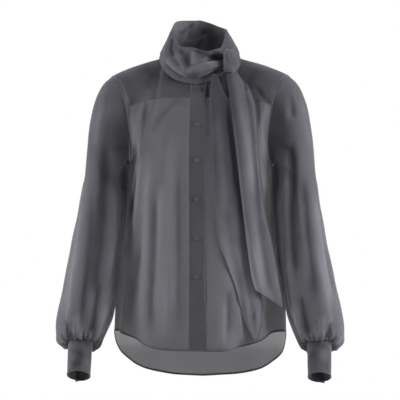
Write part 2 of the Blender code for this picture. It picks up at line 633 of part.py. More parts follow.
def build_sleeve(name, side, material):
    hole_angle, hole_level = armhole_stations()
    hole = skin(hole_angle, hole_level)
    turn = even_turns(hole)
    edge, normal = hole, skin_normal(hole_angle, hole_level)
    tangent = unit(np.roll(edge, -1, axis=0) - np.roll(edge, 1, axis=0))
    into_hole = unit(np.cross(tangent, normal))
    hub = edge.mean(axis=0)
    into_hole = np.where(((hub - edge) * into_hole).sum(axis=1, keepdims=True) < 0, -into_hole, into_hole)
    first = edge + SEAM_GAP * 1.1 * into_hole
    bicep = sleeve_section(0, turn)
    flat = np.stack([0 * turn + 1, -0.3 * np.sin(turn), -0.35 - 0.25 * np.cos(turn)], axis=-1)
    leave = unit(flat)
    reach = np.linalg.norm(bicep - first, axis=1, keepdims=True)
    down = np.array([0.06, 0.0, -1.0])
    rows = [first]
    for row in range(1, HEAD_ROWS):
        part = row / HEAD_ROWS
        rows.append(
            (1 + 2 * part) * (1 - part) ** 2 * first
            + part * (1 - part) ** 2 * leave * np.maximum(reach * CAP_SPEED, 12)
            + part**2 * (3 - 2 * part) * bicep
            + part**2 * (part - 1) * down * reach * 1.05
        )
    lengths = len(SLEEVE["height"])
    away = unit(np.stack([np.cos(turn), -np.sin(turn), 0 * turn], axis=-1))
    for row in range(lengths):
        share = row / (lengths - 1)
        rows.append(sleeve_section(row, turn) + away * sleeve_folds(turn, share)[:, None])
    axis = unit(np.array(CUFF_BOTTOM) - np.array(CUFF_TOP))
    seat = cuff_ring(0, turn, 2.7) - (SEAM_GAP + 0.1) * axis
    lip = cuff_ring(0, turn, -0.4) - (SEAM_GAP + 0.1) * axis
    rows += [seat, lip]
    outer = np.array(rows)
    normals = grid_normals(outer, True)
    middle = outer.mean(axis=1, keepdims=True)
    normals = normals if ((outer - middle) * normals).sum() > 0 else -normals
    normals[0] = unit(normals[0] + normal)
    inner = outer - CLOTH * normals
    inner[-2] = seat - CLOTH * axis + 0.6 * unit(seat - seat.mean(axis=0))
    inner[-1] = lip - CLOTH * axis
    wall(name, sway(outer, side), sway(inner, side), True, material)


def cuff_lift(step):
    """How far the lapped end of a cuff is lifted over its start."""
    return (BAND_CLOTH + 0.5) * ease(step, 322, 354)


def build_cuff(name, side, material):
    """A cuff is one band whose end laps over its start at the back of the wrist."""
    spans = 30
    step = np.linspace(0, 360 + CUFF_OVERLAP, spans + 1)
    around = np.radians(CUFF_START + step)
    lift = cuff_lift(step)
    corner = np.array([0.0, 0.0, -CUFF_CORNER]) * ease(step, 360, 360 + CUFF_OVERLAP)[:, None]
    rows_outer, rows_inner = [], []
    for share in (0.0, 0.5, 1.0):
        rows_outer.append(cuff_ring(share, around, lift) + corner * share)
        rows_inner.append(cuff_ring(share, around, lift - BAND_CLOTH) + corner * share)
    outer = sway(np.array(rows_outer), side)
    wall(name, outer, sway(np.array(rows_inner), side), False, material)
    return outer


def collar_folds(angle, rise):
    """Folds of the collar's front that draw towards the knot."""
    upper_line = 0.66 + 0.004 * (20 - angle)
    lower_line = 0.42 - 0.004 * (20 - angle)
    near_front = ease(angle, -28, 5) * (1 - ease(angle, 52, 66))
    trough = -5.0 * np.exp(-(((rise - upper_line) / 0.1) ** 2)) * near_front
    ridge = 4.0 * np.exp(-(((rise - lower_line) / 0.1) ** 2)) * near_front
    crease = -4.5 * np.exp(-(((angle + 18 - 30 * (rise - 0.5)) / 8) ** 2)) * ease(rise, 0.15, 0.5)
    left = 3.5 * np.exp(-(((angle + 52 + 40 * (rise - 0.3)) / 12) ** 2)) * ease(rise, 0.1, 0.4)
    return (trough + ridge + crease + left) * (1 - ease(rise, 0.9, 1.0))


def build_collar(material):
    """The scarf collar rises from the neckline. Its lower fold droops over the chest and turns up."""
    angle = np.linspace(-180, 180, COLLAR_COLUMNS + 1)[:-1]
    front = np.abs(angle) / 90 * NECK_ANGLE
    behind = 180 - (180 - np.abs(angle)) / 90 * NECK_ANGLE
    chart = np.where(angle < 0, -1, 1) * np.where(np.abs(angle) <= 90, front, behind)
    turn = np.radians(angle)
    away = np.stack([np.sin(turn), -np.cos(turn), 0 * turn], axis=-1)
    drop = along(COLLAR_DROOP, "drop", angle)
    base = skin(chart, 0 * chart)
    normal = skin_normal(chart, 0 * chart + 0.01)
    onward = unit(np.cross(np.roll(base, -1, axis=0) - np.roll(base, 1, axis=0), normal))
    leaves = ((away - np.array([0.0, 0.0, 0.5])) * onward).sum(axis=1, keepdims=True) > 0
    onward = np.where(leaves, onward, -onward)

    lift = COLLAR_POINT_LIFT * np.exp(-(((np.abs(angle) - 86) / 13) ** 2))[:, None]

    def seated(down, lie):
        return base + onward * np.reshape(down, (-1, 1)) + normal * (lie + lift)

    rows = [seated(0.3 * drop, COLLAR_LIE), seated(drop, COLLAR_LIE)]
    rows.append(seated(drop + 2.0, COLLAR_LIE + FOLD_LIFT / 2))
    low = seated(drop, COLLAR_LIE + FOLD_LIFT)
    rise_from = low + np.array([0.0, 0.0, 1.0]) * (2.2 + 0.3 * drop)[:, None] + normal * 0.6
    rows.append(low)
    edge = np.stack(
        [
            COLLAR_CENTRE[0] + along(COLLAR_EDGE, "radius_x", angle) * np.sin(turn),
            COLLAR_CENTRE[1] - along(COLLAR_EDGE, "radius_y", angle) * np.cos(turn),
            along(COLLAR_EDGE, "height", angle),
        ],
        axis=-1,
    )
    bulge = along(COLLAR_BULGE, "size", angle)
    for rise in np.linspace(0, 1, 8):
        swell = bulge * np.sin(np.pi * rise**0.8) + collar_folds(angle, rise)
        rows.append(rise_from + (edge - rise_from) * rise + away * swell[:, None])
    outer = np.array(rows)
    normals = grid_normals(outer, True)
    facing = ((outer[-3] - outer[-3].mean(axis=0)) * normals[-3]).sum()
    normals = normals if facing > 0 else -normals
    normals[0] = normals[1] = -normal
    normals[2] = unit(outer[2] - (outer[1] + outer[3]) / 2)
    normals[3] = unit(normal + away * 0.3)
    wall("collar", outer, outer - BAND_CLOTH * normals, True, material)


def closed_rings(name, rings, material):
    """A solid through closed rings, with a flat face at each end."""
    rows, spans = rings.shape[:2]
    faces = []
    for row in range(rows - 1):
        for column in range(spans):
            after = (column + 1) % spans
            a, b = row * spans + column, row * spans + after
            faces.append((a, b, b + spans, a + spans))
    faces.append(tuple(range(spans))[::-1])
    faces.append(tuple(range((rows - 1) * spans, rows * spans)))
    return add_mesh(name, rings, faces, material)


def build_knot(material):
    """A soft block of wrapped cloth, with rounded corners."""
    turn = np.linspace(0, 2 * np.pi, 17)[:-1]
    rings = []
    for height, left, right, front, back in zip(*KNOT.values()):
        wide = np.sign(np.cos(turn)) * np.abs(np.cos(turn)) ** 0.75 * (right - left) / 2
        deep = np.sign(np.sin(turn)) * np.abs(np.sin(turn)) ** 0.75 * (back - front) / 2
        x = (left + right) / 2 + wide
        y = (front + back) / 2 + deep
        rings.append(np.stack([x, y, 0 * turn + height + 0.06 * (x - 67)], axis=-1))
    closed_rings("knot", np.array(rings), material)


def build_tail(name, table, creases, end, slant, material):
    """One end of the tie, hanging over the front, with a slanting lower end."""
    share = np.linspace(0, 1, TAIL_COLUMNS)
    down = np.interp(np.linspace(0, 1, TAIL_ROWS) ** 0.92, [0, 1], [table["height"][0], end])
    slope = ease(-down, 300, -end)
    x_left = along(table, "left", down)
    x_right = along(table, "right", down - slant * slope)
    x = x_left[:, None] + (x_right - x_left)[:, None] * share
    z = down[:, None] - slant * slope[:, None] * share
    body = skin(*on_front(x, z))[..., 1] - along(table, "clearance", z)
    front = along(table, "front", z)
    soft = 5.0
    y = np.minimum(body, front) - soft * np.log1p(np.exp(-np.abs(body - front) / soft))
    for place, depth, width in zip(*creases.values()):
        shown = ease(-down, 40, 90) * np.clip((x_right - x_left) / 55, 0, 1)
        y = y - depth * np.exp(-(((share[None, :] - place) / width) ** 2)) * shown[:, None]
    outer = np.stack([x, y, z], axis=-1)
    normal = grid_normals(outer, False)
    normal = normal if normal[..., 1].sum() < 0 else -normal
    wall(name, outer, outer - TIE_CLOTH * normal, False, material)


def build_button(name, middle, normal, material):
    """A small round button with a raised rim, lying on the cloth."""
    side = unit(np.cross(normal, np.array([0.0, 0.0, 1.0])))
    up = np.cross(side, normal)
    turn = np.linspace(0, 2 * np.pi, 13)[:-1]
    across = side * np.cos(turn)[:, None] + up * np.sin(turn)[:, None]
    rings = []
    for radius, height in ((1.0, 0.0), (1.0, 0.7), (0.82, 1.0), (0.66, 0.72)):
        out = BUTTON_GAP + BUTTON_THICKNESS * height
        rings.append(middle + normal * out + across * BUTTON_RADIUS * radius)
    closed_rings(name, np.array(rings), material)


def build_front_buttons(placket, material):
    """Buttons down the middle of the placket, each square to it."""
    line = placket[:, placket.shape[1] // 2]
    for number, height in enumerate(BUTTON_HEIGHTS, start=1):
        row = np.searchsorted(-line[:, 2], -height) - 1
        above, below = line[row], line[row + 1]
        middle = above + (below - above) * (above[2] - height) / (above[2] - below[2])
        normal = unit(np.cross(np.array([1.0, 0.0, 0.0]), above - below))
        normal = normal if normal[1] < 0 else -normal
        build_button(f"button_{number}", middle, normal, material)


def build_cuff_buttons(cuff, word, material):
    """Two buttons on each cuff, where its end laps over, at the back of the wrist."""
    column = cuff.shape[1] - 2
    for number, share in enumerate((0.3, 0.7), start=1):
        row, part = (0, share * 2) if share < 0.5 else (1, share * 2 - 1)
        above, below = cuff[row], cuff[row + 1]
        line = above + (below - above) * part
        normal = unit(np.cross(line[column + 1] - line[column - 1], below[column] - above[column]))
        outward = line[column] - cuff.reshape(-1, 3).mean(axis=0)
        normal = normal if np.dot(normal, outward) > 0 else -normal
        build_button(f"cuff_button_{word}_{number}", line[column], normal, material)


def main():
    for thing in list(bpy.data.objects):
        bpy.data.objects.remove(thing, do_unlink=True)
    fabric = new_material("sheer_cloth", FABRIC_GREY, 0.6)
    tie = new_material("tie_cloth", FABRIC_GREY, 0.55)
    shell = new_material("button_shell", BUTTON_GREY, 0.35)
    build_front("front_right", -1, fabric)
    build_front("front_left", 1, fabric)
    placket = build_band("placket", 0.0, BAND_HALF_WIDTH, fabric)
    build_band("button_band", -BAND_STEP, BAND_HALF_WIDTH, fabric)
    build_back(fabric)
    build_yoke(fabric)
    for side, word in ((-1, "right"), (1, "left")):
        build_sleeve(f"sleeve_{word}", side, fabric)
        cuff = build_cuff(f"cuff_{word}", side, fabric)
        build_cuff_buttons(cuff, word, shell)
    build_collar(tie)
    build_knot(tie)
    build_tail("tail_upper", TAIL_UPPER, TAIL_FOLDS_UPPER, TAIL_UPPER_END, TAIL_UPPER_SLANT, tie)
    build_tail("tail_lower", TAIL_LOWER, TAIL_FOLDS_LOWER, TAIL_LOWER_END, TAIL_LOWER_SLANT, tie)
    build_front_buttons(placket, shell)


main()
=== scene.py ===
import math

import bpy
import numpy as np
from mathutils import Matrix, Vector


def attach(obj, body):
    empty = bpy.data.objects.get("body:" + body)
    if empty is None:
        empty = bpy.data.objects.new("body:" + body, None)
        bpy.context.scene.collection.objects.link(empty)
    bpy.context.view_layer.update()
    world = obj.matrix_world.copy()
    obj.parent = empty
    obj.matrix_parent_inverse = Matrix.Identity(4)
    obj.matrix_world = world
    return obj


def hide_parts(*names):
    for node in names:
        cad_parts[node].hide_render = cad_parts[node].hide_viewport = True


# A sheer tie-neck blouse on an unseen wearer, with the front towards -Y. Sizes are in millimetres
# until a mesh is made. The forms follow the same tables as the solids, with finer folds.
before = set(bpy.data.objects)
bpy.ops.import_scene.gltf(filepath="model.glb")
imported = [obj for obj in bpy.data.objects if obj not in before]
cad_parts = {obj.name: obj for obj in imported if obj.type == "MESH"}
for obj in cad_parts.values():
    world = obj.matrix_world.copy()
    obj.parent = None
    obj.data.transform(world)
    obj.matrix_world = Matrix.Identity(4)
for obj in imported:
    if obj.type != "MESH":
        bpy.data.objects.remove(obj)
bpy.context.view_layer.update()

body = {
    "neckFront": (0.0, -52.0, -52.0),
    "neckBack": (0.0, 52.0, 6.0),
    "neckPoint": (74.0, 4.0, 0.0),
    "neckAngle": 42.0,  # where the neckline ends and the shoulder's ridge starts
    "shoulderPoint": (183.0, 8.0, -38.0),
    "shoulderArch": 3.5,
    "underarmLevel": -215.0,
    "levelLength": 200.0,
    "squareness": 2.3,
    "seamGap": 0.3,
}
# How many points each panel's grid has before it is made finer
stations = {
    "front": 12,
    "shoulder": 5,
    "side": 10,
    "armholeFront": 13,
    "armholeBack": 10,
    "armholeYoke": 7,
    # Angles from the side seam to the centre back, closer together at the pleat
    "back": (90, 98, 107, 114, 118.4, 120, 124, 131, 141, 151, 161, 171, 180),
}
bodyRings = {
    "height": (-700, -640, -596, -560, -520, -470, -420, -370, -320, -270, -240, -215),
    "halfWidth": (178, 178, 178, 178, 177, 173.5, 168, 163, 159, 155.5, 151.5, 148),
    "front": (138, 135, 132, 130, 128, 126, 124, 123, 124, 126, 126, 123),
    "back": (132, 128, 124, 121, 118, 113, 108, 103, 100, 98, 98, 98),
    "sideBehind": (0, 0, 0, 8, 16, 24, 28, 29, 27, 21, 11, 0),
}
armholeLine = {
    "angle": (90, 86.5, 84, 82, 80.5, 79, 78, 80, 90, 100, 102.5, 102, 100.5, 98.5, 96, 93.5),
    "level": (
        0, 0.12, 0.26, 0.42, 0.58, 0.74, 0.87, 0.98, 1.03, 0.98, 0.87, 0.74, 0.58, 0.42, 0.26,
        0.12,
    ),
}
frontHem = {
    "angle": (0, 12, 22, 33, 41, 51, 62, 76, 90),
    "height": (-598, -597.5, -595, -587, -579, -569, -564, -565, -570),
}
backHem = {
    "angle": (90, 96, 103, 112, 122, 132, 145, 160, 180),
    "height": (-570, -586, -604, -621, -636, -647, -659, -668, -673),
}
bodyFolds = {
    "topAngle": (-13, -28, -38, -50, -66, 12, 28, 40, 55, 70, 152, 132, -152, -132, 172, -172),
    "hemAngle": (-10, -26, -42, -55, -70, 14, 27, 42, 58, 70, 148, 124, -146, -120, 168, -165),
    "starts": (1.3, 1.0, 1.1, 1.3, 1.6, 1.4, 1.3, 1.2, 1.4, 1.6, 0.6, 1.0, 0.6, 1.0, 0.9, 1.1),
    "depth": (-5, 9, -6, 7, -5, 9, -11, 8, -6, 4, 8, -6, 7, -6, 6, -5),
    "width": (9, 8, 6, 7, 8, 8, 7, 8, 7, 7, 9, 9, 9, 9, 10, 10),
}
sideFolds = {
    "angle": (-68, -50, 73, 57),
    "turn": (-9, -16, 3, 4),
    "depth": (-13, 5, -8, 3),
    "width": (9, 7, 8, 8),
    "full": (1.0, 1.0, 1.35, 1.35),
    "fades": (1.35, 1.3, 1.9, 1.8),
    "gone": (2.0, 2.0, 2.6, 2.6),
}


def curve(part, first, leaving, second, arriving):
    # A smooth curve from the first value to the second, with the slopes at both ends
    return (
        (1 + 2 * part) * (1 - part) ** 2 * first
        + part * (1 - part) ** 2 * leaving
        + part**2 * (3 - 2 * part) * second
        + part**2 * (part - 1) * arriving
    )


def along(table, column, at):
    # The named column of a table at any place between its stations
    places = np.asarray(table[next(iter(table))], float)
    values = np.asarray(table[column], float)
    if places[0] > places[-1]:
        places, values = places[::-1], values[::-1]
    slopes = np.gradient(values, places)
    at = np.clip(np.asarray(at, float), places[0], places[-1])
    left = np.clip(np.searchsorted(places, at, side="right") - 1, 0, len(places) - 2)
    span = places[left + 1] - places[left]
    part = (at - places[left]) / span
    return curve(part, values[left], span * slopes[left], values[left + 1], span * slopes[left + 1])


def ease(value, low, high):
    # 0 below low, 1 above high, and a smooth rise between them
    part = np.clip((np.asarray(value, float) - low) / (high - low), 0, 1)
    return part * part * (3 - 2 * part)


def fade(value, low, high):
    return 1 - ease(value, low, high)


def bell(value, middle, width):
    return np.exp(-(((value - middle) / width) ** 2))


def joined(*parts):
    return np.stack(parts, axis=-1)


def unit(vectors):
    return vectors / np.maximum(np.linalg.norm(vectors, axis=-1, keepdims=True), 1e-9)


def ring(angle, height):
    # A point of the body below the arms, at an angle from the centre front
    turn = np.radians(angle)
    side, ahead = np.sin(turn), np.cos(turn)
    power = 2 / body["squareness"]
    depth = np.where(ahead > 0, along(bodyRings, "front", height), along(bodyRings, "back", height))
    x = along(bodyRings, "halfWidth", height) * np.sign(side) * np.abs(side) ** power
    y = -depth * np.sign(ahead) * np.abs(ahead) ** power
    y = y + along(bodyRings, "sideBehind", height) * side**4
    return joined(x, y, np.broadcast_to(height, x.shape).astype(float))


def topLine(angle):
    # The neckline from the centre front or back, then the shoulder's ridge
    fromMiddle = np.where(angle <= 90, angle, 180 - angle)
    turn = np.radians(90) * np.clip(fromMiddle / body["neckAngle"], 0, 1)
    outward = np.clip((fromMiddle - body["neckAngle"]) / (90 - body["neckAngle"]), 0, 1)
    middle = np.where((angle <= 90)[..., None], body["neckFront"], body["neckBack"])
    neck = body["neckPoint"]
    x = neck[0] * np.sin(turn)
    y = neck[1] + (middle[..., 1] - neck[1]) * np.cos(turn)
    z = middle[..., 2] * np.cos(turn) ** 1.5
    ridge = np.array(body["shoulderPoint"]) - np.array(neck)
    x = x + ridge[0] * outward
    y = y + ridge[1] * outward
    z = z + ridge[2] * outward + body["shoulderArch"] * np.sin(np.pi * outward**1.3)
    return joined(x, y, z)


def topSlope(angle):
    # The direction and speed with which the body leaves its top line
    fromMiddle = np.where(angle <= 90, angle, 180 - angle)
    outward = ease(fromMiddle, 12, body["neckAngle"] + 28)
    forward = np.where(angle <= 90, -1.0, 1.0)
    speed = 200 + 140 * ease(fromMiddle, body["neckAngle"], 80)
    lean = np.where(angle <= 90, 0.62, 0.45) * (1 - outward) + 0.98 * outward
    fall = np.sqrt(1 - lean**2) * (1 - outward) + 0.1 * outward
    return joined(0 * lean, forward * lean * speed, -fall * speed)


def softFolds(angle, level):
    # How far the body's skin is moved out by its soft folds
    total = np.zeros(np.broadcast(angle, level).shape)
    for top, hem, start, depth, width in zip(*bodyFolds.values()):
        middle = top + (hem - top) * np.clip((level - 1) / 2, 0, 1)
        total = total + depth * bell(angle, middle, width) * ease(level, start, 3.0)
    for start, turn, depth, width, full, fades, gone in zip(*sideFolds.values()):
        middle = start + turn * (level - 1)
        shown = ease(level, full - 0.3, full) * fade(level, fades, gone)
        total = total + depth * bell(angle, middle, width) * shown
    return total


def pleats(turn, level):
    # Two knife pleats in the back, pressed under the yoke and open below
    past = turn - backCloth["pleatAngle"]
    across = np.where(past > 0, bell(past, 0, 5.5), bell(past, 0, 1.2))
    return backCloth["pleatDepth"] * ease(level, 0.41, 0.48) * fade(level, 0.7, 1.8) * across


def skin(angle, level, outward=0.0):
    # A point of the body's outer surface. Level 0 is the top line, 1 the underarm, and each whole
    # level below that is body["levelLength"]. The angle is negative on the wearer's right.
    angle, level = np.broadcast_arrays(np.asarray(angle, float), np.asarray(level, float))
    side = np.where(angle < 0, -1.0, 1.0)
    turn, underarm, length = np.abs(angle), body["underarmLevel"], body["levelLength"]
    top, low = topLine(turn), ring(turn, np.full(turn.shape, underarm))
    step = 2.0
    fall = (ring(turn, np.full(turn.shape, underarm - step)) - low) / step * length
    upper = curve(np.clip(level, 0, 1)[..., None], top, topSlope(turn), low, fall)
    lower = ring(turn, underarm - np.clip(level - 1, 0, None) * length)
    points = np.where((level <= 1)[..., None], upper, lower)
    flat = joined(points[..., 0] * side, points[..., 1], points[..., 2])
    moved = softFolds(angle, level) + pleats(turn, level) + outward
    away = joined(np.sin(np.radians(turn)) * side, -np.cos(np.radians(turn)), 0 * turn)
    return flat + away * moved[..., None]


def skinNormal(angle, level):
    # The outward direction of the body's skin
    turn, drop = 0.4, 0.01
    across = skin(angle + turn, level) - skin(angle - turn, level)
    down = skin(angle, level + drop) - skin(angle, np.maximum(level - drop, 0))
    return unit(np.cross(down, across))


def levelOf(height):
    return 1 + (body["underarmLevel"] - np.asarray(height, float)) / body["levelLength"]


def halved(shape, high, past):
    # Where a rising value passes its mark, from 0 to high, by halving the range
    low, high = np.zeros(shape), np.full(shape, high)
    for _ in range(30):
        middle = (low + high) / 2
        over = past(middle)
        low, high = np.where(over, low, middle), np.where(over, middle, high)
    return (low + high) / 2


def angleAt(x, level):
    # The angle at which the skin is x from the middle, at each level
    return halved(np.shape(level), 60.0, lambda angle: skin(angle, level)[..., 0] > x)


def levelAt(angle, height):
    # The level at which the skin has a height, at each angle
    return halved(np.shape(angle), 1.0, lambda level: skin(angle, level)[..., 2] < height)


def yokeSeam(turn):
    # Level of the yoke's seam across the back
    return levelAt(turn, along(yokeBack, "height", turn))


def onFront(x, height):
    # Angle and level of the skin's point at x and a height on the front, by Newton's method
    x, height = np.broadcast_arrays(np.asarray(x, float), np.asarray(height, float))
    angle = np.degrees(np.arcsin(np.clip(x / 160, -0.95, 0.95)))
    level = np.clip(levelOf(height), 0.05, None)
    for _ in range(12):
        here = skin(angle, level)
        byAngle = (skin(angle + 0.1, level) - here) / 0.1
        byLevel = (skin(angle, level + 0.001) - here) / 0.001
        offX, offZ = x - here[..., 0], height - here[..., 2]
        size = byAngle[..., 0] * byLevel[..., 2] - byAngle[..., 2] * byLevel[..., 0]
        size = np.where(np.abs(size) < 1e-6, 1e-6, size)
        angle = angle + np.clip((offX * byLevel[..., 2] - offZ * byLevel[..., 0]) / size, -8, 8)
        level = level + np.clip((byAngle[..., 0] * offZ - byAngle[..., 2] * offX) / size, -0.3, 0.3)
        angle, level = np.clip(angle, -88, 88), np.clip(level, 0.0, 3.3)
    return angle, level


def armholeStations():
    # Angles and levels of the armhole's points on the wearer's left, from the yoke's front seam
    # down the front, under the arm, up the back and over the shoulder, evenly spaced between seams.
    count = len(armholeLine["angle"])
    closed = {"place": tuple(range(-3, count + 4))}
    for name in ("angle", "level"):
        closed[name] = tuple(armholeLine[name][index % count] for index in closed["place"])
    fine = np.linspace(0, count, 1601)
    angle, level = along(closed, "angle", fine), np.clip(along(closed, "level", fine), 0, None)
    points = skin(angle, level)
    walked = np.concatenate([[0], np.cumsum(np.linalg.norm(np.diff(points, axis=0), axis=1))])
    under = walked[np.argmax(level)]
    half = len(fine) // 2
    frontSeam = walked[:half][np.argmin(np.abs(walked[:half] - yokeSizes["frontDrop"]))]
    behind = np.arange(len(fine)) > np.argmax(level)
    seamHeight = along(yokeBack, "height", angle)
    backSeam = walked[behind][np.argmin(np.abs(points[:, 2] - seamHeight)[behind])]
    stops = [
        np.linspace(frontSeam, under, stations["armholeFront"] + 1)[:-1],
        np.linspace(under, backSeam, stations["armholeBack"] + 1)[:-1],
        np.linspace(backSeam, walked[-1] + frontSeam, stations["armholeYoke"] + 1)[:-1],
    ]
    places = np.concatenate(stops) % walked[-1]
    return np.interp(places, walked, angle), np.interp(places, walked, level)


def gridNormals(points, closed):
    # Unit normals of a grid of points, rows by columns
    if closed:
        across = np.roll(points, -1, axis=1) - np.roll(points, 1, axis=1)
    else:
        across = np.gradient(points, axis=1)
    return unit(np.cross(np.gradient(points, axis=0), across))


def outwardNormals(points, closed, away):
    normals = gridNormals(points, closed)
    return normals if (normals * away).sum() > 0 else -normals


def acrossRow(first, neck, last):
    # Angles of a row, from the armhole to the neck's point and on to the middle
    outer = np.linspace(first, neck, stations["shoulder"] + 1)
    inner = np.linspace(neck, last, stations["front"] - stations["shoulder"] + 1)
    return np.concatenate([outer, inner[1:]])


def downShare(sideLevel, share, inward):
    # How far down each point of a row is, from the armhole's own stations to even ones inside
    atSide = (sideLevel - sideLevel[0]) / (sideLevel[-1] - sideLevel[0])
    return atSide[:, None] + (share - atSide)[:, None] * inward


def toHem(angle, level, hem, edgeAngles):
    # Even rows from the last one of a panel's upper part down to its hem
    angles, levels = [angle], [level]
    for row in range(1, stations["side"] + 1):
        lower = level[-1] + (hem - level[-1]) * row / stations["side"]
        angles.append(edgeAngles(lower)[None, :])
        levels.append(lower[None, :])
    return np.concatenate(angles), np.concatenate(levels)


def halfSeam():
    # Half of the gap in the side seam, as an angle
    return math.degrees(body["seamGap"] / 2 / along(bodyRings, "halfWidth", body["underarmLevel"]))


def frontGrid():
    # Angle and level of the left front's points, from the armhole and side seam to the closing band
    holeAngle, holeLevel = armholeStations()
    rows, neckAngle = stations["armholeFront"] + 1, body["neckAngle"]
    sideAngle, sideLevel = holeAngle[:rows].copy(), holeLevel[:rows].copy()
    sideAngle[-1] -= halfSeam()
    share = np.linspace(0, 1, rows)
    even = np.linspace(0, 1, stations["front"] + 1)
    bandEdge = band["halfWidth"] + body["seamGap"]
    middle = 0.012 + 1.01 * share
    edge = angleAt(bandEdge, middle)
    angle = []
    for row, part in enumerate(share):
        atTop = acrossRow(sideAngle[row], neckAngle, edge[row])
        plain = sideAngle[row] + (edge[row] - sideAngle[row]) * even
        angle.append(plain + (atTop - plain) * (1 - part) ** 1.5)
    angle = np.array(angle)
    top = shoulderLevel(angle[0])
    low = sideLevel[-1] + (middle[-1] - sideLevel[-1]) * even
    level = top + (low - top) * downShare(sideLevel, share, ease(even, 0, 0.5)[None, :])
    level[:, 0] = sideLevel
    hem = levelOf(along(frontHem, "height", angle[-1]))

    def towardsBand(lower):
        edge = angleAt(bandEdge, lower[-1:])[0]
        return sideAngle[-1] + (edge - sideAngle[-1]) * even

    return toHem(angle, level, hem, towardsBand)


def shoulderLevel(angle):
    # Level of the yoke's front seam, which runs forward of the ridge and meets it at the neck
    turn, neckAngle = np.abs(angle), body["neckAngle"]
    speed = 200 + 140 * ease(turn, neckAngle, 80)
    return 0.004 + yokeSizes["frontDrop"] / speed * ease(turn, neckAngle, neckAngle + 20)


def bothSides(turn):
    # Angles of one side of the back and, from the middle on, the other side's as negative ones
    return np.concatenate([turn[..., :-1], -turn[..., ::-1]], axis=-1)


def twice(values):
    return np.concatenate([values[..., :-1], values[..., ::-1]], axis=-1)


def smoothAt(values, at, closed=False):
    # Values between the stations of a row, on one smooth curve
    count = len(values)
    if closed:
        slopes = (np.roll(values, -1, axis=0) - np.roll(values, 1, axis=0)) / 2
        left = np.floor(at).astype(int) % count
        right = (left + 1) % count
        part = at - np.floor(at)
    else:
        slopes = np.gradient(values, axis=0)
        left = np.clip(np.floor(at).astype(int), 0, count - 2)
        right = left + 1
        part = at - left
    part = part.reshape(-1, *[1] * (values.ndim - 1))
    return (
        (1 + 2 * part) * (1 - part) ** 2 * values[left]
        + part * (1 - part) ** 2 * slopes[left]
        + part**2 * (3 - 2 * part) * values[right]
        + part**2 * (part - 1) * slopes[right]
    )


def finer(grid, rows, columns, closed=False):
    # The same surface with more rows and columns
    down = smoothAt(np.asarray(grid, float), np.linspace(0, len(grid) - 1, rows))
    across = np.swapaxes(down, 0, 1)
    last = len(across) if closed else len(across) - 1
    places = np.linspace(0, last, columns, endpoint=not closed)
    return np.swapaxes(smoothAt(across, places, closed), 0, 1)


def softNoise(points, size, seed):
    # Smooth uneven values from about -1 to 1, which change over the given size
    chance = np.random.default_rng(seed)
    total = np.zeros(points.shape[:-1])
    for _ in range(14):
        direction = unit(chance.normal(size=3)) * 2 * np.pi / (size * chance.uniform(0.7, 1.6))
        total = total + np.cos(points @ direction + chance.uniform(0, 2 * np.pi))
    return total / 3.7


# Creases: the line of each on the cloth as seen from the front, its half width and its depth
frontCreases = (
    (((-67, -247), (-69, -357), (-71, -477), (-67, -588)), 9, 2.6),
    (((-93, -197), (-100, -317), (-102, -397), (-108, -477), (-116, -578)), 7, 2.4),
    (((-83, -257), (-85, -377), (-91, -497), (-93, -588)), 6, -2.6),
    (((-33, -197), (-35, -357), (-33, -497), (-29, -590)), 8, -2.0),
    (((-49, -137), (-51, -297), (-49, -457), (-45, -588)), 8, 1.6),
    (((-110, -201), (-120, -277), (-128, -327), (-136, -377)), 5, 2.6),
    (((-132, -197), (-134, -277), (-140, -347), (-148, -437)), 6, -3.0),
    (((-116, -377), (-128, -447), (-138, -518), (-142, -558)), 7, -2.2),
    (((-27, -88), (-53, -105), (-77, -133), (-93, -167)), 5, -1.2),
    (((-93, -80), (-114, -113), (-126, -157), (-132, -197)), 5, 1.3),
    (((-126, -80), (-138, -105), (-140, -137)), 4, -1.4),
    (((23, -80), (23, -157), (25, -257)), 4, -1.0),
    (((51, -497), (49, -558), (49, -594)), 6, 2.4),
    (((65, -467), (65, -518), (65, -574)), 5, -2.6),
    (((83, -497), (85, -548), (87, -588)), 5, 2.2),
    (((99, -518), (101, -558), (103, -582)), 4, -2.0),
    (((115, -497), (117, -538), (121, -574)), 5, 2.0),
    (((139, -510), (141, -542), (143, -566)), 4, -2.0),
    (((161, -497), (163, -538), (165, -560)), 5, 2.0),
    (((159, -277), (151, -327), (147, -387)), 4, -2.0),
    (((143, -97), (131, -121), (123, -157), (131, -217)), 6, 1.8),
    (((159, -92), (151, -133), (147, -197)), 4, -1.6),
    (((115, -64), (131, -88), (151, -105)), 4, -1.2),
    (((131, -297), (139, -347), (147, -397)), 5, 1.6),
)
rightSleeveCreases = (
    (((-228, -247), (-232, -317), (-238, -398), (-252, -499), (-256, -549)), 8, 3.0),
    (((-190, -156), (-190, -277), (-198, -378), (-208, -499)), 9, -3.4),
    (((-172, -136), (-168, -257), (-174, -378), (-182, -479)), 7, 2.4),
    (((-156, -196), (-152, -297), (-158, -398), (-172, -489)), 6, -2.6),
    (((-212, -277), (-216, -378), (-228, -479), (-236, -559)), 6, -2.2),
    (((-196, -458), (-206, -519), (-216, -575)), 5, -3.0),
    (((-265, -529), (-260, -559), (-252, -581)), 4, -2.4),
    (((-184, -499), (-196, -549), (-210, -581)), 5, 2.2),
    (((-244, -519), (-242, -555), (-236, -583)), 4, 2.4),
    (((-156, -63), (-172, -87), (-180, -120)), 4, 1.6),
    (((-170, -59), (-180, -79), (-190, -107)), 3.5, -1.8),
    (((-184, -79), (-200, -132), (-208, -196)), 7, 1.6),
    (((-160, -111), (-168, -166), (-172, -216)), 5, -1.6),
    (((-142, -160), (-156, -184), (-172, -200)), 4, -1.6),
    (((-137, -196), (-154, -216), (-176, -241)), 4, 1.6),
)
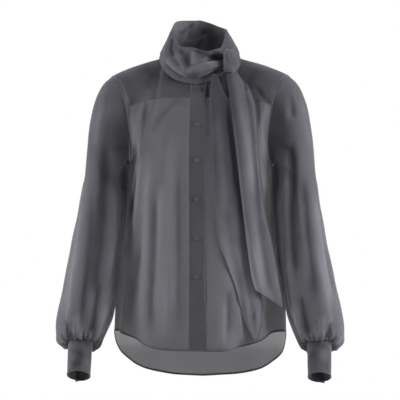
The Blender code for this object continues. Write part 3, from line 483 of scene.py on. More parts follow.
leftSleeveCreases = (
    (((232, -277), (238, -358), (252, -438), (268, -519)), 8, 3.0),
    (((189, -156), (189, -297), (195, -398), (201, -468)), 8, -3.6),
    (((175, -196), (175, -297), (179, -398), (187, -479)), 6, 2.2),
    (((213, -237), (219, -337), (230, -438), (240, -519)), 7, -2.4),
    (((248, -297), (260, -398), (276, -499)), 6, -1.8),
    (((207, -479), (215, -529), (226, -575)), 5, -2.6),
    (((270, -535), (264, -559), (258, -579)), 4, -2.4),
    (((193, -499), (205, -549), (217, -579)), 5, 2.2),
    (((252, -519), (248, -555), (244, -583)), 4, 2.2),
    (((181, -65), (189, -95), (195, -132)), 4, -2.6),
    (((173, -71), (175, -105), (179, -140)), 4, 2.0),
    (((201, -79), (215, -132), (224, -196)), 7, 1.6),
    (((161, -160), (175, -188), (195, -208)), 4, -1.6),
    (((159, -196), (175, -220), (195, -245)), 4, 1.4),
)
backCreases = (
    (((-84, -244), (-90, -489), (-94, -617)), 10, 2.6),
    (((-47, -190), (-47, -404), (-43, -617)), 9, -2.2),
    (((8, -169), (8, -404), (12, -639)), 9, 2.0),
    (((55, -212), (59, -425), (66, -617)), 8, -2.2),
    (((94, -190), (100, -404), (111, -607)), 9, 2.4),
    (((-111, -190), (-124, -404), (-133, -617)), 8, -2.2),
)
collarCreases = (
    (((56, -12), (14, 0), (-10, 10)), 3.4, -2.6),
    (((-12, 8), (-10, -8), (-8, -24)), 3.0, 2.2),
    (((-40, 16), (-24, -6), (-14, -30)), 4.2, -1.9),
    (((49, -18), (14, -24), (-10, -32), (-26, -43)), 3.6, 2.4),
    (((49, -28), (18, -45), (-2, -49)), 3.0, -2.6),
    (((-67, -4), (-45, -28), (-16, -41)), 3.4, 2.2),
    (((-71, -16), (-49, -36), (-24, -53)), 2.6, -1.6),
    (((-53, 41), (-57, 16), (-49, -8)), 3.0, -1.6),
    (((-45, 4), (-33, -20), (-24, -36)), 2.6, 1.4),
    (((28, 8), (16, -8), (12, -20)), 2.4, 1.4),
)
collarBackCreases = (
    (((-48, 51), (-27, 64), (-8, 79)), 3.4, -2.4),
    (((-33, 39), (-12, 41), (5, 49), (15, 54)), 3.0, 2.6),
    (((-23, 72), (-31, 47), (-44, 26)), 3.0, 1.8),
    (((11, 68), (-2, 39), (-14, 9)), 4.0, -2.0),
    (((45, 51), (32, 22), (11, -7)), 4.0, 1.8),
)
knotCreases = (
    (((50, 2), (51, -14), (50, -34)), 2.2, -1.6),
    (((64, 12), (70, -6), (66, -40)), 7.0, 1.2),
    (((60, 4), (59, -8), (62, -20)), 1.8, -0.7),
    (((90, -13), (80, -15)), 1.4, -1.4),
    (((90, -25), (80, -26)), 1.4, -1.5),
    (((82, -38), (73, -28)), 1.3, -1.0),
)
upperEndCreases = (
    (((83, -38), (93, -56), (101, -80)), 3.0, -3.0),
    (((67, -48), (83, -116), (99, -196), (111, -297)), 5, 1.8),
    (((79, -96), (95, -196), (105, -297), (115, -398)), 6, -1.5),
    (((99, -76), (115, -156), (125, -257), (135, -357)), 8, 1.5),
    (((93, -64), (107, -116), (115, -196)), 3.0, -1.6),
    (((117, -317), (131, -398), (147, -488)), 5, -1.6),
    (((131, -357), (143, -422), (161, -494)), 5, 1.4),
    (((107, -377), (119, -438), (131, -478)), 4, 1.2),
)
lowerEndCreases = (
    (((34, -63), (40, -136), (46, -237), (54, -357)), 5, 1.5),
    (((50, -86), (64, -126), (72, -196), (78, -297)), 4, -2.0),
    (((44, -43), (50, -63), (54, -84)), 2.6, -2.2),
    (((54, -297), (70, -398), (87, -488)), 5, -1.5),
    (((74, -378), (93, -458), (105, -539)), 5, 1.6),
    (((99, -468), (107, -519), (115, -567)), 4, -1.2),
    (((38, -297), (50, -378), (68, -448)), 4, 1.0),
)


def creaseField(points, creases, strength=1.7, broader=1.0):
    # Soft troughs and ridges along lines drawn on the cloth as seen from the front
    x, z = points[..., 0], points[..., 2]
    total = np.zeros(x.shape)
    for line, halfWidth, depth in creases:
        line = np.array(line, float)
        legs = np.linalg.norm(np.diff(line, axis=0), axis=1)
        starts = np.concatenate([[0], np.cumsum(legs)])
        nearest, share = np.full(x.shape, 1e9), np.zeros(x.shape)
        for leg in range(len(legs)):
            start, way = line[leg], (line[leg + 1] - line[leg]) / legs[leg]
            walked = np.clip((x - start[0]) * way[0] + (z - start[1]) * way[1], 0, legs[leg])
            off = np.hypot(x - start[0] - walked * way[0], z - start[1] - walked * way[1])
            closer = off < nearest
            nearest = np.where(closer, off, nearest)
            share = np.where(closer, (starts[leg] + walked) / starts[-1], share)
        ends = ease(share, 0, 0.22) * fade(share, 0.78, 1)
        total = total + strength * depth * bell(nearest, 0, halfWidth * broader) * ends
    return total


def detail(points, normals, creases, side=-1.0, strength=1.9, broader=1.3):
    # Creases show on the half of a piece that faces the front, or the back for side 1
    facing = ease(side * normals[..., 1], 0.05, 0.45)
    return creaseField(points, creases, strength, broader) * facing


def mirrored(creases, drop, strength=0.8):
    # The other side's creases, shifted so that they differ, where the photo shows none
    made = []
    for index, (line, width, depth) in enumerate(creases):
        shift, fall = 6 * math.sin(index * 2.3), drop + 9 * math.cos(index * 1.7)
        moved = tuple((shift - x, z + fall) for x, z in line)
        made.append((moved, width * (1 + 0.2 * math.sin(index)), depth * strength))
    return tuple(made)


def addPiece(name, mesh):
    thing = bpy.data.objects.new(name, mesh)
    bpy.context.scene.collection.objects.link(thing)
    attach(thing, "root")
    return thing


def setField(mesh, word, values):
    field = mesh.attributes.new(word, "FLOAT", "POINT")
    field.data.foreach_set("value", np.asarray(values, np.float32))


# Each cloth piece's outer grid and outward directions, for the edges and stitches on it
surfaces = {}


def shell(
    name, node, outer, away, thickness, finish, fold=0.0, dense=0.0, innerShade=0.0, closed=False,
):
    # A thin closed shell of cloth: its outer grid, a second layer inside it and the rims between
    # them. Its tone values are painted shade and painted highlight added to the cloth's colour,
    # dense its extra cover, and the inner layer gets further painted shade of its own.
    surfaces[name] = (outer, away)
    rows, columns = outer.shape[:2]
    normals = outwardNormals(outer, closed, away)
    inner = outer - thickness * normals
    inside = rows * columns
    spans = columns if closed else columns - 1
    row, column = np.meshgrid(np.arange(rows - 1), np.arange(spans), indexing="ij")
    a, b = row * columns + column, row * columns + (column + 1) % columns
    quads = joined(a, b, b + columns, a + columns).reshape(-1, 4)
    cross = np.cross(outer[1, 0] - outer[0, 0], outer[0, 1] - outer[0, 0])
    rightWay = (cross * normals[0, 0]).sum() < 0
    quads = quads if rightWay else quads[:, ::-1]
    first = np.arange(spans)
    after, lower = (first + 1) % columns, (rows - 1) * columns
    rim = [
        joined(after, first, first + inside, after + inside),
        joined(first + lower, after + lower, after + lower + inside, first + lower + inside),
    ]
    if not closed:
        left = np.arange(rows - 1) * columns
        right = left + columns - 1
        rim.append(joined(left, left + columns, left + columns + inside, left + inside))
        rim.append(joined(right + columns, right, right + inside, right + columns + inside))
    rim = np.concatenate(rim)
    rim = rim if rightWay else rim[:, ::-1]
    faces = np.concatenate([quads, quads[:, ::-1] + inside, rim])
    points = np.concatenate([outer.reshape(-1, 3), inner.reshape(-1, 3)]) / 1000
    mesh = bpy.data.meshes.new(name)
    mesh.from_pydata(points.tolist(), [], faces.tolist())
    # UV in metres along the cloth, with the last span of a tube going on past its start
    stepAcross = np.linalg.norm(np.roll(outer, -1, axis=1) - outer, axis=2).mean(axis=0)
    stepDown = np.linalg.norm(np.diff(outer, axis=0), axis=2).mean(axis=1)
    u = np.concatenate([[0], np.cumsum(stepAcross)]) / 1000
    v = np.concatenate([[0], np.cumsum(stepDown)]) / 1000
    corner = faces % inside
    corners = corner % columns
    lastSpan = (corners.max(axis=1) - corners.min(axis=1) > 1)[:, None] & closed
    corners = np.where(lastSpan & (corners == 0), columns, corners)
    layer = mesh.uv_layers.new(name="cut")
    layer.data.foreach_set("uv", joined(u[corners], v[corner // columns]).ravel())
    for word, values, more in (("fold", fold, innerShade), ("dense", dense, 0.0)):
        values, more = (np.broadcast_to(item, (rows, columns)).ravel() for item in (values, more))
        setField(mesh, word, np.concatenate([values, values + more]))
    mesh.materials.append(finish)
    mesh.shade_smooth()
    mesh.validate()
    thing = addPiece(name, mesh)
    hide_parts(node)
    return thing


def plainMesh(name, points, faces, finish, smooth=True):
    mesh = bpy.data.meshes.new(name)
    points = (np.asarray(points, float) / 1000).tolist()
    mesh.from_pydata(points, [], [tuple(int(corner) for corner in face) for face in faces])
    mesh.materials.append(finish)
    if smooth:
        mesh.shade_smooth()
    return addPiece(name, mesh)


def drawCut(mesh):
    # UV in metres for a small piece, flattened from the front and the side
    place = np.array([vertex.co[:] for vertex in mesh.vertices])
    corner = np.zeros(len(mesh.loops), np.int32)
    mesh.loops.foreach_get("vertex_index", corner)
    x, y, z = place[corner].T
    layer = mesh.uv_layers.new(name="cut")
    layer.data.foreach_set("uv", joined(x + y * 0.7, z + y * 0.3).ravel())


def tubeFaces(count, around, first=0, looped=False, turned=False):
    # Faces between rings of points that follow each other
    faces = []
    for step in range(count if looped else count - 1):
        for corner in range(around):
            here, there = first + step * around, first + (step + 1) % count * around
            after = (corner + 1) % around
            face = (here + corner, here + after, there + after, there + corner)
            faces.append((face[0], face[3], face[2], face[1]) if turned else face)
    return faces


class Value:
    # A shader socket that can be used in sums
    def __init__(self, tree, socket):
        self.tree = tree
        self.socket = socket

    def math(self, operation, other):
        node = self.tree.nodes.new("ShaderNodeMath")
        node.operation = operation
        self.tree.links.new(self.socket, node.inputs[0])
        if isinstance(other, Value):
            self.tree.links.new(other.socket, node.inputs[1])
        else:
            node.inputs[1].default_value = other
        return Value(self.tree, node.outputs[0])

    def __add__(self, other):
        return self.math("ADD", other)

    __radd__ = __add__

    def __sub__(self, other):
        return self.math("SUBTRACT", other)

    def __mul__(self, other):
        return self.math("MULTIPLY", other)

    def between(self, low, high):
        # Limits the value to a range
        return self.math("MAXIMUM", low).math("MINIMUM", high)


class Finish:
    # One material and the nodes that make it
    def __init__(self, name):
        self.material = bpy.data.materials.new(name)
        self.material.use_nodes = True
        self.tree = self.material.node_tree
        self.shader = self.tree.nodes["Principled BSDF"]

    def node(self, kind, settings=(), inputs=(), output=0):
        made = self.tree.nodes.new(kind)
        for word, value in dict(settings).items():
            setattr(made, word, value)
        for word, value in dict(inputs).items():
            self.feed(made.inputs[word], value)
        return Value(self.tree, made.outputs[output])

    def feed(self, socket, value):
        if isinstance(value, Value):
            self.tree.links.new(value.socket, socket)
        else:
            socket.default_value = value

    def set(self, inputs):
        for word, value in inputs.items():
            self.feed(self.shader.inputs[word], value)

    def field(self, word):
        return self.node("ShaderNodeAttribute", {"attribute_name": word}, output=2)

    def tinted(self, dark, light, share):
        made = self.node("ShaderNodeMix", {"data_type": "RGBA"}, output=2)
        # A mix node's colours are its inputs 6 and 7
        for place, value in ((0, share), (6, (*dark, 1)), (7, (*light, 1))):
            self.feed(made.socket.node.inputs[place], value)
        return made


clothFinish = {
    "threads": 1900.0,  # threads in a metre of cloth
    "dark": (0.0150, 0.0148, 0.0205),
    "light": (0.104, 0.1015, 0.118),
    "sheenTint": (0.8, 0.79, 0.86, 1),
    "roughness": 0.86,
    "sheen": 0.25,
    "bump": 0.25,
    "threadHeight": 0.00035,
}


def clothMaterial(name, cover, tint=1.0):
    # Crepe: a crossed weave of uneven threads. Cover is the alpha of one face of a shell.
    finish = Finish(name)
    uv = finish.node("ShaderNodeUVMap", {"uv_map": "cut"})
    fold, dense = finish.field("fold"), finish.field("dense")
    scale = clothFinish["threads"] / 3.1416 / 2
    waves = [
        finish.node(
            "ShaderNodeTexWave",
            {"wave_type": "BANDS", "bands_direction": direction, "wave_profile": "SIN"},
            {"Vector": uv, "Scale": scale, "Distortion": 0.6, "Detail": 1.0, "Detail Scale": 0.3},
            output=1,
        )
        for direction in ("X", "Y")
    ]
    weave = waves[0] * 0.5 + waves[1] * 0.5
    slub, cloudy = (
        finish.node(
            "ShaderNodeTexNoise",
            {"noise_dimensions": "2D"},
            {"Vector": uv, "Scale": size, "Detail": layers, "Roughness": roughness},
        )
        for size, layers, roughness in ((420.0, 3.0, 0.6), (18.0, 4.0, 0.55))
    )
    # The weave's own uneven tone plus each piece's painted shade and painted highlight; painted
    # darker places also get a little more alpha below
    tone = (weave * 0.22 + slub * 0.34 + cloudy * 0.3 + 0.07 + fold).between(0.0, 1.0)
    dark, light = (tuple(c * tint for c in clothFinish[word]) for word in ("dark", "light"))
    finish.set({"Base Color": finish.tinted(dark, light, tone)})
    finish.set({"Roughness": clothFinish["roughness"], "Specular IOR Level": 0.25})
    finish.set({"Sheen Weight": clothFinish["sheen"], "Sheen Roughness": 0.45})
    finish.set({"Sheen Tint": clothFinish["sheenTint"]})
    threads = cover - 0.05 + weave * 0.05 + slub * 0.06 - 0.02
    finish.set({"Alpha": (threads + dense * (0.97 - cover) - fold * 0.12).between(0.05, 1.0)})
    height = {"Height": weave * 0.6 + slub * 0.7, "Distance": clothFinish["threadHeight"]}
    height["Strength"] = clothFinish["bump"]
    finish.set({"Normal": finish.node("ShaderNodeBump", {}, height)})
    finish.material.surface_render_method = "DITHERED"
    return finish.material


def mottled(name, dark, light, noise, **inputs):
    # A plain material between two tones, mixed by noise in the object's own place
    finish = Finish(name)
    place = finish.node("ShaderNodeTexCoord", output=3)
    uneven = finish.node("ShaderNodeTexNoise", {}, {"Vector": place, **noise})
    finish.set({"Base Color": finish.tinted(dark, light, uneven)})
    finish.set({"Roughness": 0.7, **inputs})
    return finish, uneven


def buttonMaterial():
    noise = {"Scale": 260.0, "Detail": 4.0, "Distortion": 0.8}
    finish, cloudy = mottled(
        "dark shell button", (0.010, 0.0098, 0.0115), (0.040, 0.039, 0.045), noise
    )
    finish.set({"Roughness": cloudy * 0.2 + 0.4, "Coat Weight": 0.15, "Coat Roughness": 0.3})
    return finish.material


def threadMaterial():
    noise = {"Scale": 1500.0, "Detail": 1.0}
    return mottled("sewing thread", (0.03, 0.029, 0.032), (0.075, 0.073, 0.078), noise)[0].material


sheerCloth = clothMaterial("sheer crepe", 0.58, 0.94)
sleeveCloth = clothMaterial("sheer crepe, gathered", 0.66)
yokeCloth = clothMaterial("sheer crepe, yoke of two layers", 0.86, 0.55)
bandCloth = clothMaterial("sheer crepe, doubled", 0.88, 0.54)
tieCloth = clothMaterial("tie crepe, doubled", 0.92, 1.02)
hemCloth = clothMaterial("sheer crepe, rolled hem", 0.90, 0.62)
buttonShell = buttonMaterial()
sewingThread = threadMaterial()
print("materials made")


def shares(outer):
    # How far down and across a grid its points lie, from 0 to 1
    rows, columns = outer.shape[:2]
    return np.linspace(0, 1, rows)[:, None], np.linspace(0, 1, columns)[None, :]


frontCloth = {
    "rows": 150,
    "columns": 76,
    "thickness": 0.55,
    "wrinkle": 0.35,
    "fineWrinkle": 0.25,
    "underArmPush": 1.3,
    "underArmShade": 0.45,
    "neckShade": 0.25,
}


def makeFront(name, node, side):
    sizes = frontCloth
    angle, level = (finer(part, sizes["rows"], sizes["columns"]) for part in frontGrid())
    angle = side * angle
    halfWidth = band["halfWidth"]
    nearBand = fade(np.abs(skin(angle, level)[..., 0]), halfWidth, halfWidth + band["ramp"])
    outer = skin(angle, level, -band["step"] * nearBand if side > 0 else 0 * nearBand)
    normals = outwardNormals(outer, False, skinNormal(angle, level))
    down, across = shares(outer)
    border = ease(down, 0, 0.04) * ease(across, 0, 0.08) * fade(across, 0.9, 0.98)
    uneven = softNoise(outer, 42, 11) * sizes["wrinkle"]
    uneven = uneven + softNoise(outer * np.array([1, 1, 0.3]), 16, 12) * sizes["fineWrinkle"]
    moved = (detail(outer, normals, frontCreases) + uneven) * border
    depth = -outer[..., 2]
    underArm = ease(depth, 205, 228) * fade(depth, 262, 300) * ease(np.abs(angle), 74, 88)
    outer = outer + normals * (moved + sizes["underArmPush"] * underArm)[..., None]
    # Painted shade and highlight: crease troughs darker, ridges lighter, painted shade under the
    # arm (made more opaque too), a darker upper front above the yoke's seam, and the collar's
    # painted shadow
    fold = np.clip(moved * 0.075, -0.32, 0.26) - sizes["underArmShade"] * underArm
    fold = fold - 0.1 * fade(level, 0.7, 1.5) - 0.12 * fade(level, 0.36, 0.46)
    fold = fold - sizes["neckShade"] * fade(level, 0.05, 0.24) * fade(np.abs(angle), 30, 52)
    dense = 0.5 * underArm
    return shell(name, node, outer, normals, sizes["thickness"], sheerCloth, fold, dense)


band = {"halfWidth": 16.6, "step": 1.9, "ramp": 34.0, "columns": 15, "thickness": 1.1, "edge": 0.18}


def makeBand(name, node, outward, finish):
    # A straight band down the centre front
    level = finer(frontGrid()[1], frontCloth["rows"], frontCloth["columns"])[:, -1]
    across = np.linspace(-1, 1, band["columns"])
    angle = angleAt(band["halfWidth"], level)[:, None] * across[None, :]
    levels = np.repeat(level[:, None], len(across), axis=1)
    outer = skin(angle, levels, outward)
    away = skinNormal(angle, levels)
    ripple = softNoise(outer * np.array([1, 1, 0.6]), 22, 21) * 0.18
    ridge = band["edge"] * bell(np.abs(across), 0.93, 0.05)[None, :]
    moved = ripple * (1 - np.abs(across)) + ridge
    outer = outer + away * moved[..., None]
    # Painted shade in the ripples and painted highlight on the raised edges
    fold = np.clip(moved * 0.1, -0.1, 0.1)
    return shell(name, node, outer, away, band["thickness"], finish, fold)


backCloth = {
    "rows": 130,
    "columns": 84,
    "thickness": 0.55,
    "wrinkle": 0.6,
    "pleatAngle": 120.0,
    "pleatDepth": 3.0,
    "pleatShade": 0.3,
}


def makeBack():
    sizes = backCloth
    holeAngle, holeLevel = armholeStations()
    first, count = stations["armholeFront"], stations["armholeBack"] + 1
    fromSeam = slice(first, first + count)
    sideAngle, sideLevel = (part[fromSeam][::-1].copy() for part in (holeAngle, holeLevel))
    sideAngle[-1] += halfSeam()
    plain = np.array(stations["back"], float)
    turn = plain + (sideAngle[:, None] - 90) * fade(plain, 90, 112)[None, :]
    share = np.linspace(0, 1, count)
    top = yokeSeam(turn[0]) + body["seamGap"] / body["levelLength"]
    top[0] = sideLevel[0]
    low = sideLevel[-1] + (1.03 - sideLevel[-1]) * ease(plain, 90, 180)
    inward = ease(plain, 90, 135)[None, :]
    level = top + (low - top) * downShare(sideLevel, share, inward)
    hem = levelOf(along(backHem, "height", turn[-1]))
    turn, level = toHem(turn, level, hem, lambda lower: turn[-1])
    turn = bothSides(finer(turn, sizes["rows"], sizes["columns"]))
    level = twice(finer(level, sizes["rows"], sizes["columns"]))
    outer = skin(turn, level)
    normals = outwardNormals(outer, False, skinNormal(turn, level))
    uneven = softNoise(outer, 55, 31) * sizes["wrinkle"]
    moved = (detail(outer, normals, backCreases, 1.0) + uneven) * ease(shares(outer)[0], 0, 0.05)
    outer = outer + normals * moved[..., None]
    # Three layers lie on each other in a knife pleat
    past = np.abs(turn) - backCloth["pleatAngle"]
    pleat = ease(past, -0.7, 0.1) * fade(past, 3.0, 5.5) * fade(level, 0.55, 1.15)
    # Painted shade in the crease troughs and painted highlight on the ridges; the pleat darker for
    # its layers
    fold = np.clip(moved * 0.06, -0.24, 0.2) - sizes["pleatShade"] * pleat
    dense = 0.9 * pleat + 0.3 * ease(-outer[..., 2], 585, 625)
    return shell("backPanel", "back", outer, normals, sizes["thickness"], sheerCloth, fold, dense)


yokeSizes = {"rows": 43, "columns": 73, "frontDrop": 16.0, "thickness": 0.6, "gap": 0.3 / 280}
yokeBack = {"angle": (90, 100, 115, 130, 150, 180), "height": (-104, -99, -89, -84, -80, -78)}


def makeYoke():
    holeAngle, holeLevel = armholeStations()
    first = stations["armholeFront"] + stations["armholeBack"]
    sideAngle = np.append(holeAngle[first:], holeAngle[0])
    sideLevel = np.append(holeLevel[first:], holeLevel[0])
    walk = np.where(sideAngle >= 90, sideLevel, -sideLevel)
    share = np.linspace(0, 1, stations["armholeYoke"] + 1)
    plain = np.array(stations["back"], float)
    seam = plain + (sideAngle[0] - 90) * fade(plain, 90, 112)
    beyond = 90 + np.abs(sideAngle - 90)
    over = np.array([acrossRow(angle, 180 - body["neckAngle"], 180) for angle in beyond])
    turn = over + (seam - over) * (1 - share[:, None]) ** 1.5
    turn[:, 0] = beyond
    low = yokeSeam(turn[0])
    low[0] = walk[0]
    ahead = -shoulderLevel(180 - turn[-1]) + yokeSizes["gap"]
    high = np.where(180 - turn[-1] < body["neckAngle"] - 0.1, 0.004, ahead)
    inward = ease(turn[0], turn[0][0], turn[0][0] + 26)[None, :]
    at = low + (high - low) * downShare(walk, share, inward)
    at[:, 0] = walk
    at[0, 0] -= yokeSizes["gap"]
    at[-1, 0] += yokeSizes["gap"]
    turn, at = (finer(part, yokeSizes["rows"], yokeSizes["columns"]) for part in (turn, at))
    at = np.where(turn > 180 - body["neckAngle"], np.maximum(at, 0.002), at)
    turn = np.clip(turn, 90, 180)
    place, level = bothSides(np.where(at >= 0, turn, 180 - turn)), twice(np.abs(at))
    outer, away = skin(place, level), skinNormal(place, level)
    outer = outer + away * (softNoise(outer, 40, 41) * 0.25)[..., None]
    # Painted shade: the yoke's middle darker on both layers, and the whole inner layer darker still
    middle = fade(np.abs(outer[..., 0]), 76, 94)
    fold, innerShade = -0.14 * middle, -0.35 - 0.2 * middle
    thickness = yokeSizes["thickness"]
    return shell("shoulderYoke", "yoke", outer, away, thickness, yokeCloth, fold, 0.0, innerShade)


sleeveSizes = {
    "rows": 168,
    "columns": 160,
    "thickness": 0.55,
    "headRows": 5,
    "capSpeed": 0.72,
    "wristSway": 2.5,
    "gathers": 7,
    "gatherDepth": 2.2,
    "fineGatherDepth": 2.1,
    # Gathers over the cuff and at the shoulder: how many go round, where they start, their depth
    "cuffWaves": ((17, 1.1, 0.6), (34, 2.0, 0.5), (53, 0.3, 0.25)),
    "capWaves": ((38, 0.7, 0.6), (61, 0, 0.35)),
    "puckerDepth": 2.0,
    "capGatherDepth": 0.9,
    "wrinkle": 0.8,
    "underArmPush": 3.0,
    "underArmShade": 0.45,
}
sleeveRings = {
    "height": (-246, -266, -300, -340, -380, -420, -460, -500, -530, -552, -570, -583, -591, -589),
    "outer": (
        238.5, 241.8, 247.3, 254.6, 261.3, 268.2, 275.5, 282.5, 288.2, 291.6, 291.8, 289.2, 281,
        272,
    ),
    "inner": (
        153.2, 153.2, 154, 156, 158.3, 162, 166.2, 171.5, 177.2, 185.0, 192.5, 199.5, 206, 213,
    ),
    "middle": (-6, -12, -20, -25, -28, -32, -37, -43, -50, -57, -62, -66, -69, -70),
    "halfDepth": (67, 69.5, 73, 76, 79, 82, 84, 83, 78, 71, 62, 53, 45, 40.5),
    "slope": (0, 0, 0, 0, 0, 0.03, 0.08, 0.16, 0.25, 0.32, 0.37, 0.40, 0.41, 0.41),
}
sleeveCreases = {
    "angle": (18, 46, 70, 100, 132, 165, 205, 240, 275, 305, 335),
    "depth": (3.5, -4.0, 4.0, -4.5, 4.0, -3.0, -3.0, 4.0, -4.5, 4.0, -3.5),
    "width": (13, 11, 11, 12, 13, 14, 14, 13, 12, 12, 12),
}


def sleeveSection(row, turn):
    # A ring of the sleeve, from its outer side round the front
    sizes = (values[row] for values in sleeveRings.values())
    height, outer, inner, middle, halfDepth, slope = sizes
    x = (outer + inner) / 2 + (outer - inner) / 2 * np.cos(turn)
    ahead = halfDepth * np.sin(turn)
    return joined(x, middle - ahead, height + slope * ahead)


def sleeveFolds(turn, share):
    # Long folds down the sleeve, which end as sleeveSizes["gathers"] at the cuff
    degrees = np.degrees(turn) % 360
    total = np.zeros(degrees.shape)
    for middle, depth, width in zip(*sleeveCreases.values()):
        off = (degrees - middle + 180) % 360 - 180
        total = total + depth * bell(off, 0, width)
    longOnes = total * ease(share, 0.25, 0.5) * fade(share, 0.78, 0.92)
    drawn = sleeveSizes["gatherDepth"] * np.cos(sleeveSizes["gathers"] * turn + 0.6)
    return longOnes + drawn * ease(share, 0.66, 0.8) * fade(share, 0.84, 0.93)


def sway(points, side):
    # Mirrors a sleeve or cuff to its side, and lets both wrists hang a little to the wearer's left
    moved = points * np.array([side, 1.0, 1.0])
    moved[..., 0] += sleeveSizes["wristSway"] * ease(-points[..., 2], 400, 520)
    return moved


def evenTurns(edge):
    # Sleeve angles for the armhole's points, by their distance along it from the shoulder's ridge
    count = len(edge)
    steps = np.linalg.norm(np.roll(edge, -1, axis=0) - edge, axis=1)
    over = count - 2
    walked = np.concatenate([[0], np.cumsum(np.roll(steps, -over))])[:-1]
    return np.roll(walked / steps.sum() * 2 * np.pi, over)


def sleeveGrid(side):
    holeAngle, holeLevel = armholeStations()
    edge, normal = skin(holeAngle, holeLevel), skinNormal(holeAngle, holeLevel)
    turn = evenTurns(edge)
    tangent = unit(np.roll(edge, -1, axis=0) - np.roll(edge, 1, axis=0))
    intoHole = unit(np.cross(tangent, normal))
    outside = ((edge.mean(axis=0) - edge) * intoHole).sum(axis=1, keepdims=True) < 0
    intoHole = np.where(outside, -intoHole, intoHole)
    first = edge + body["seamGap"] * 1.1 * intoHole
    bicep = sleeveSection(0, turn)
    leave = unit(joined(0 * turn + 1, -0.3 * np.sin(turn), -0.35 - 0.25 * np.cos(turn)))
    reach = np.linalg.norm(bicep - first, axis=1, keepdims=True)
    leaving = leave * np.maximum(reach * sleeveSizes["capSpeed"], 12)
    arriving = np.array([0.06, 0.0, -1.0]) * reach * 1.05
    rows = [first]
    for row in range(1, sleeveSizes["headRows"]):
        rows.append(curve(row / sleeveSizes["headRows"], first, leaving, bicep, arriving))
    lengths = len(sleeveRings["height"])
    away = unit(joined(np.cos(turn), -np.sin(turn), 0 * turn))
    for row in range(lengths):
        folds = sleeveFolds(turn, row / (lengths - 1))
        rows.append(sleeveSection(row, turn) + away * folds[:, None])
    axis = unit(np.array(cuffSizes["bottom"]) - np.array(cuffSizes["top"]))
    lifted = (body["seamGap"] + 0.1) * axis
    rows += [cuffRing(0, turn, 2.7) - lifted, cuffRing(0, turn, -0.4) - lifted]
    return sway(np.array(rows), side), turn


def makeSleeve(name, node, side, frontSet, backSet):
    sizes = sleeveSizes
    coarse, turn = sleeveGrid(side)
    outer = finer(coarse, sizes["rows"], sizes["columns"], True)
    turns = joined(np.cos(turn), np.sin(turn))[None].repeat(2, 0)
    around = finer(turns, 2, sizes["columns"], True)[0]
    around = np.arctan2(around[:, 1], around[:, 0])[None, :]
    normals = outwardNormals(outer, True, outer - outer.mean(axis=1, keepdims=True))
    share = shares(outer)[0]
    folds = detail(outer, normals, frontSet) + detail(outer, normals, backSet, 1.0)
    lively = ease(share, 0.03, 0.12) * fade(share, 0.9, 0.97)
    seed = 51 if side > 0 else 52
    uneven = softNoise(outer * np.array([1, 1, 0.45]), 46, seed) * sizes["wrinkle"]
    waves, capWaves = (
        sum(depth * np.cos(count * around + start) for count, start, depth in sizes[word])
        for word in ("cuffWaves", "capWaves")
    )
    atCuff = ease(share, 0.7, 0.9) * fade(share, 0.955, 0.985)
    atCap = ease(share, 0.005, 0.03) * fade(share, 0.05, 0.2) * ease(np.cos(around), 0.15, 0.7)
    puckers = np.cos(26 * around + 1.3 * np.sin(2 * around + 0.4))
    puckers = sizes["puckerDepth"] * puckers * ease(share, 0.74, 0.84) * fade(share, 0.9, 0.95)
    moved = (folds + uneven) * lively + puckers + waves * sizes["fineGatherDepth"] * atCuff
    moved = moved + capWaves * sizes["capGatherDepth"] * atCap
    depth = -outer[..., 2]
    inward = ease(-np.cos(around), 0.6, 0.95)
    start = ease(depth, 212, 232) * inward
    underArm, closing = start * fade(depth, 262, 300), start * fade(depth, 300, 420)
    outer = outer + normals * (moved + sizes["underArmPush"] * closing)[..., None]
    # Painted shade and highlight: crease troughs darker, ridges lighter, painted shade under the
    # arm and on the inner side and top, and a painted highlight down the outer side
    fold = np.clip(moved * 0.085, -0.36, 0.3) - sizes["underArmShade"] * underArm - 0.14 * inward
    fold = fold - 0.16 * fade(share, 0.12, 0.4) - 0.05
    fold = fold + 0.2 * ease(np.cos(around), 0.45, 0.95) * ease(share, 0.3, 0.5)
    dense = 0.25 * ease(share, 0.85, 0.97) + 0.5 * underArm
    thickness = sizes["thickness"]
    return shell(name, node, outer, normals, thickness, sleeveCloth, fold, dense, closed=True)


cuffSizes = {
    "top": (242.5, -71.4, -583.5),
    "bottom": (242.5, -99.5, -650.5),
    "halfWidth": 24.8,
    "halfDepth": 36.0,
    "taper": 0.94,
    "overlap": 24.0,
    "start": 271.0,
    "corner": 2.5,
    "lapLift": 1.9,
    "rows": 17,
    "columns": 121,
    "thickness": 1.1,
}


def cuffRing(share, turn, outward=0.0):
    # A point of the cuff, from 0 at its top to 1 at its lower edge, on the wearer's left
    top, low = np.array(cuffSizes["top"]), np.array(cuffSizes["bottom"])
    axis = unit(low - top)
    across = np.array([1.0, 0.0, 0.0])
    ahead = np.array([0.0, axis[2], -axis[1]])
    size = 1 + (cuffSizes["taper"] - 1) * share
    centre = top + (low - top) * share
    wide = (cuffSizes["halfWidth"] * size + outward) * np.cos(turn)
    deep = (cuffSizes["halfDepth"] * size + outward) * np.sin(turn)
    return centre + wide[..., None] * across + deep[..., None] * ahead


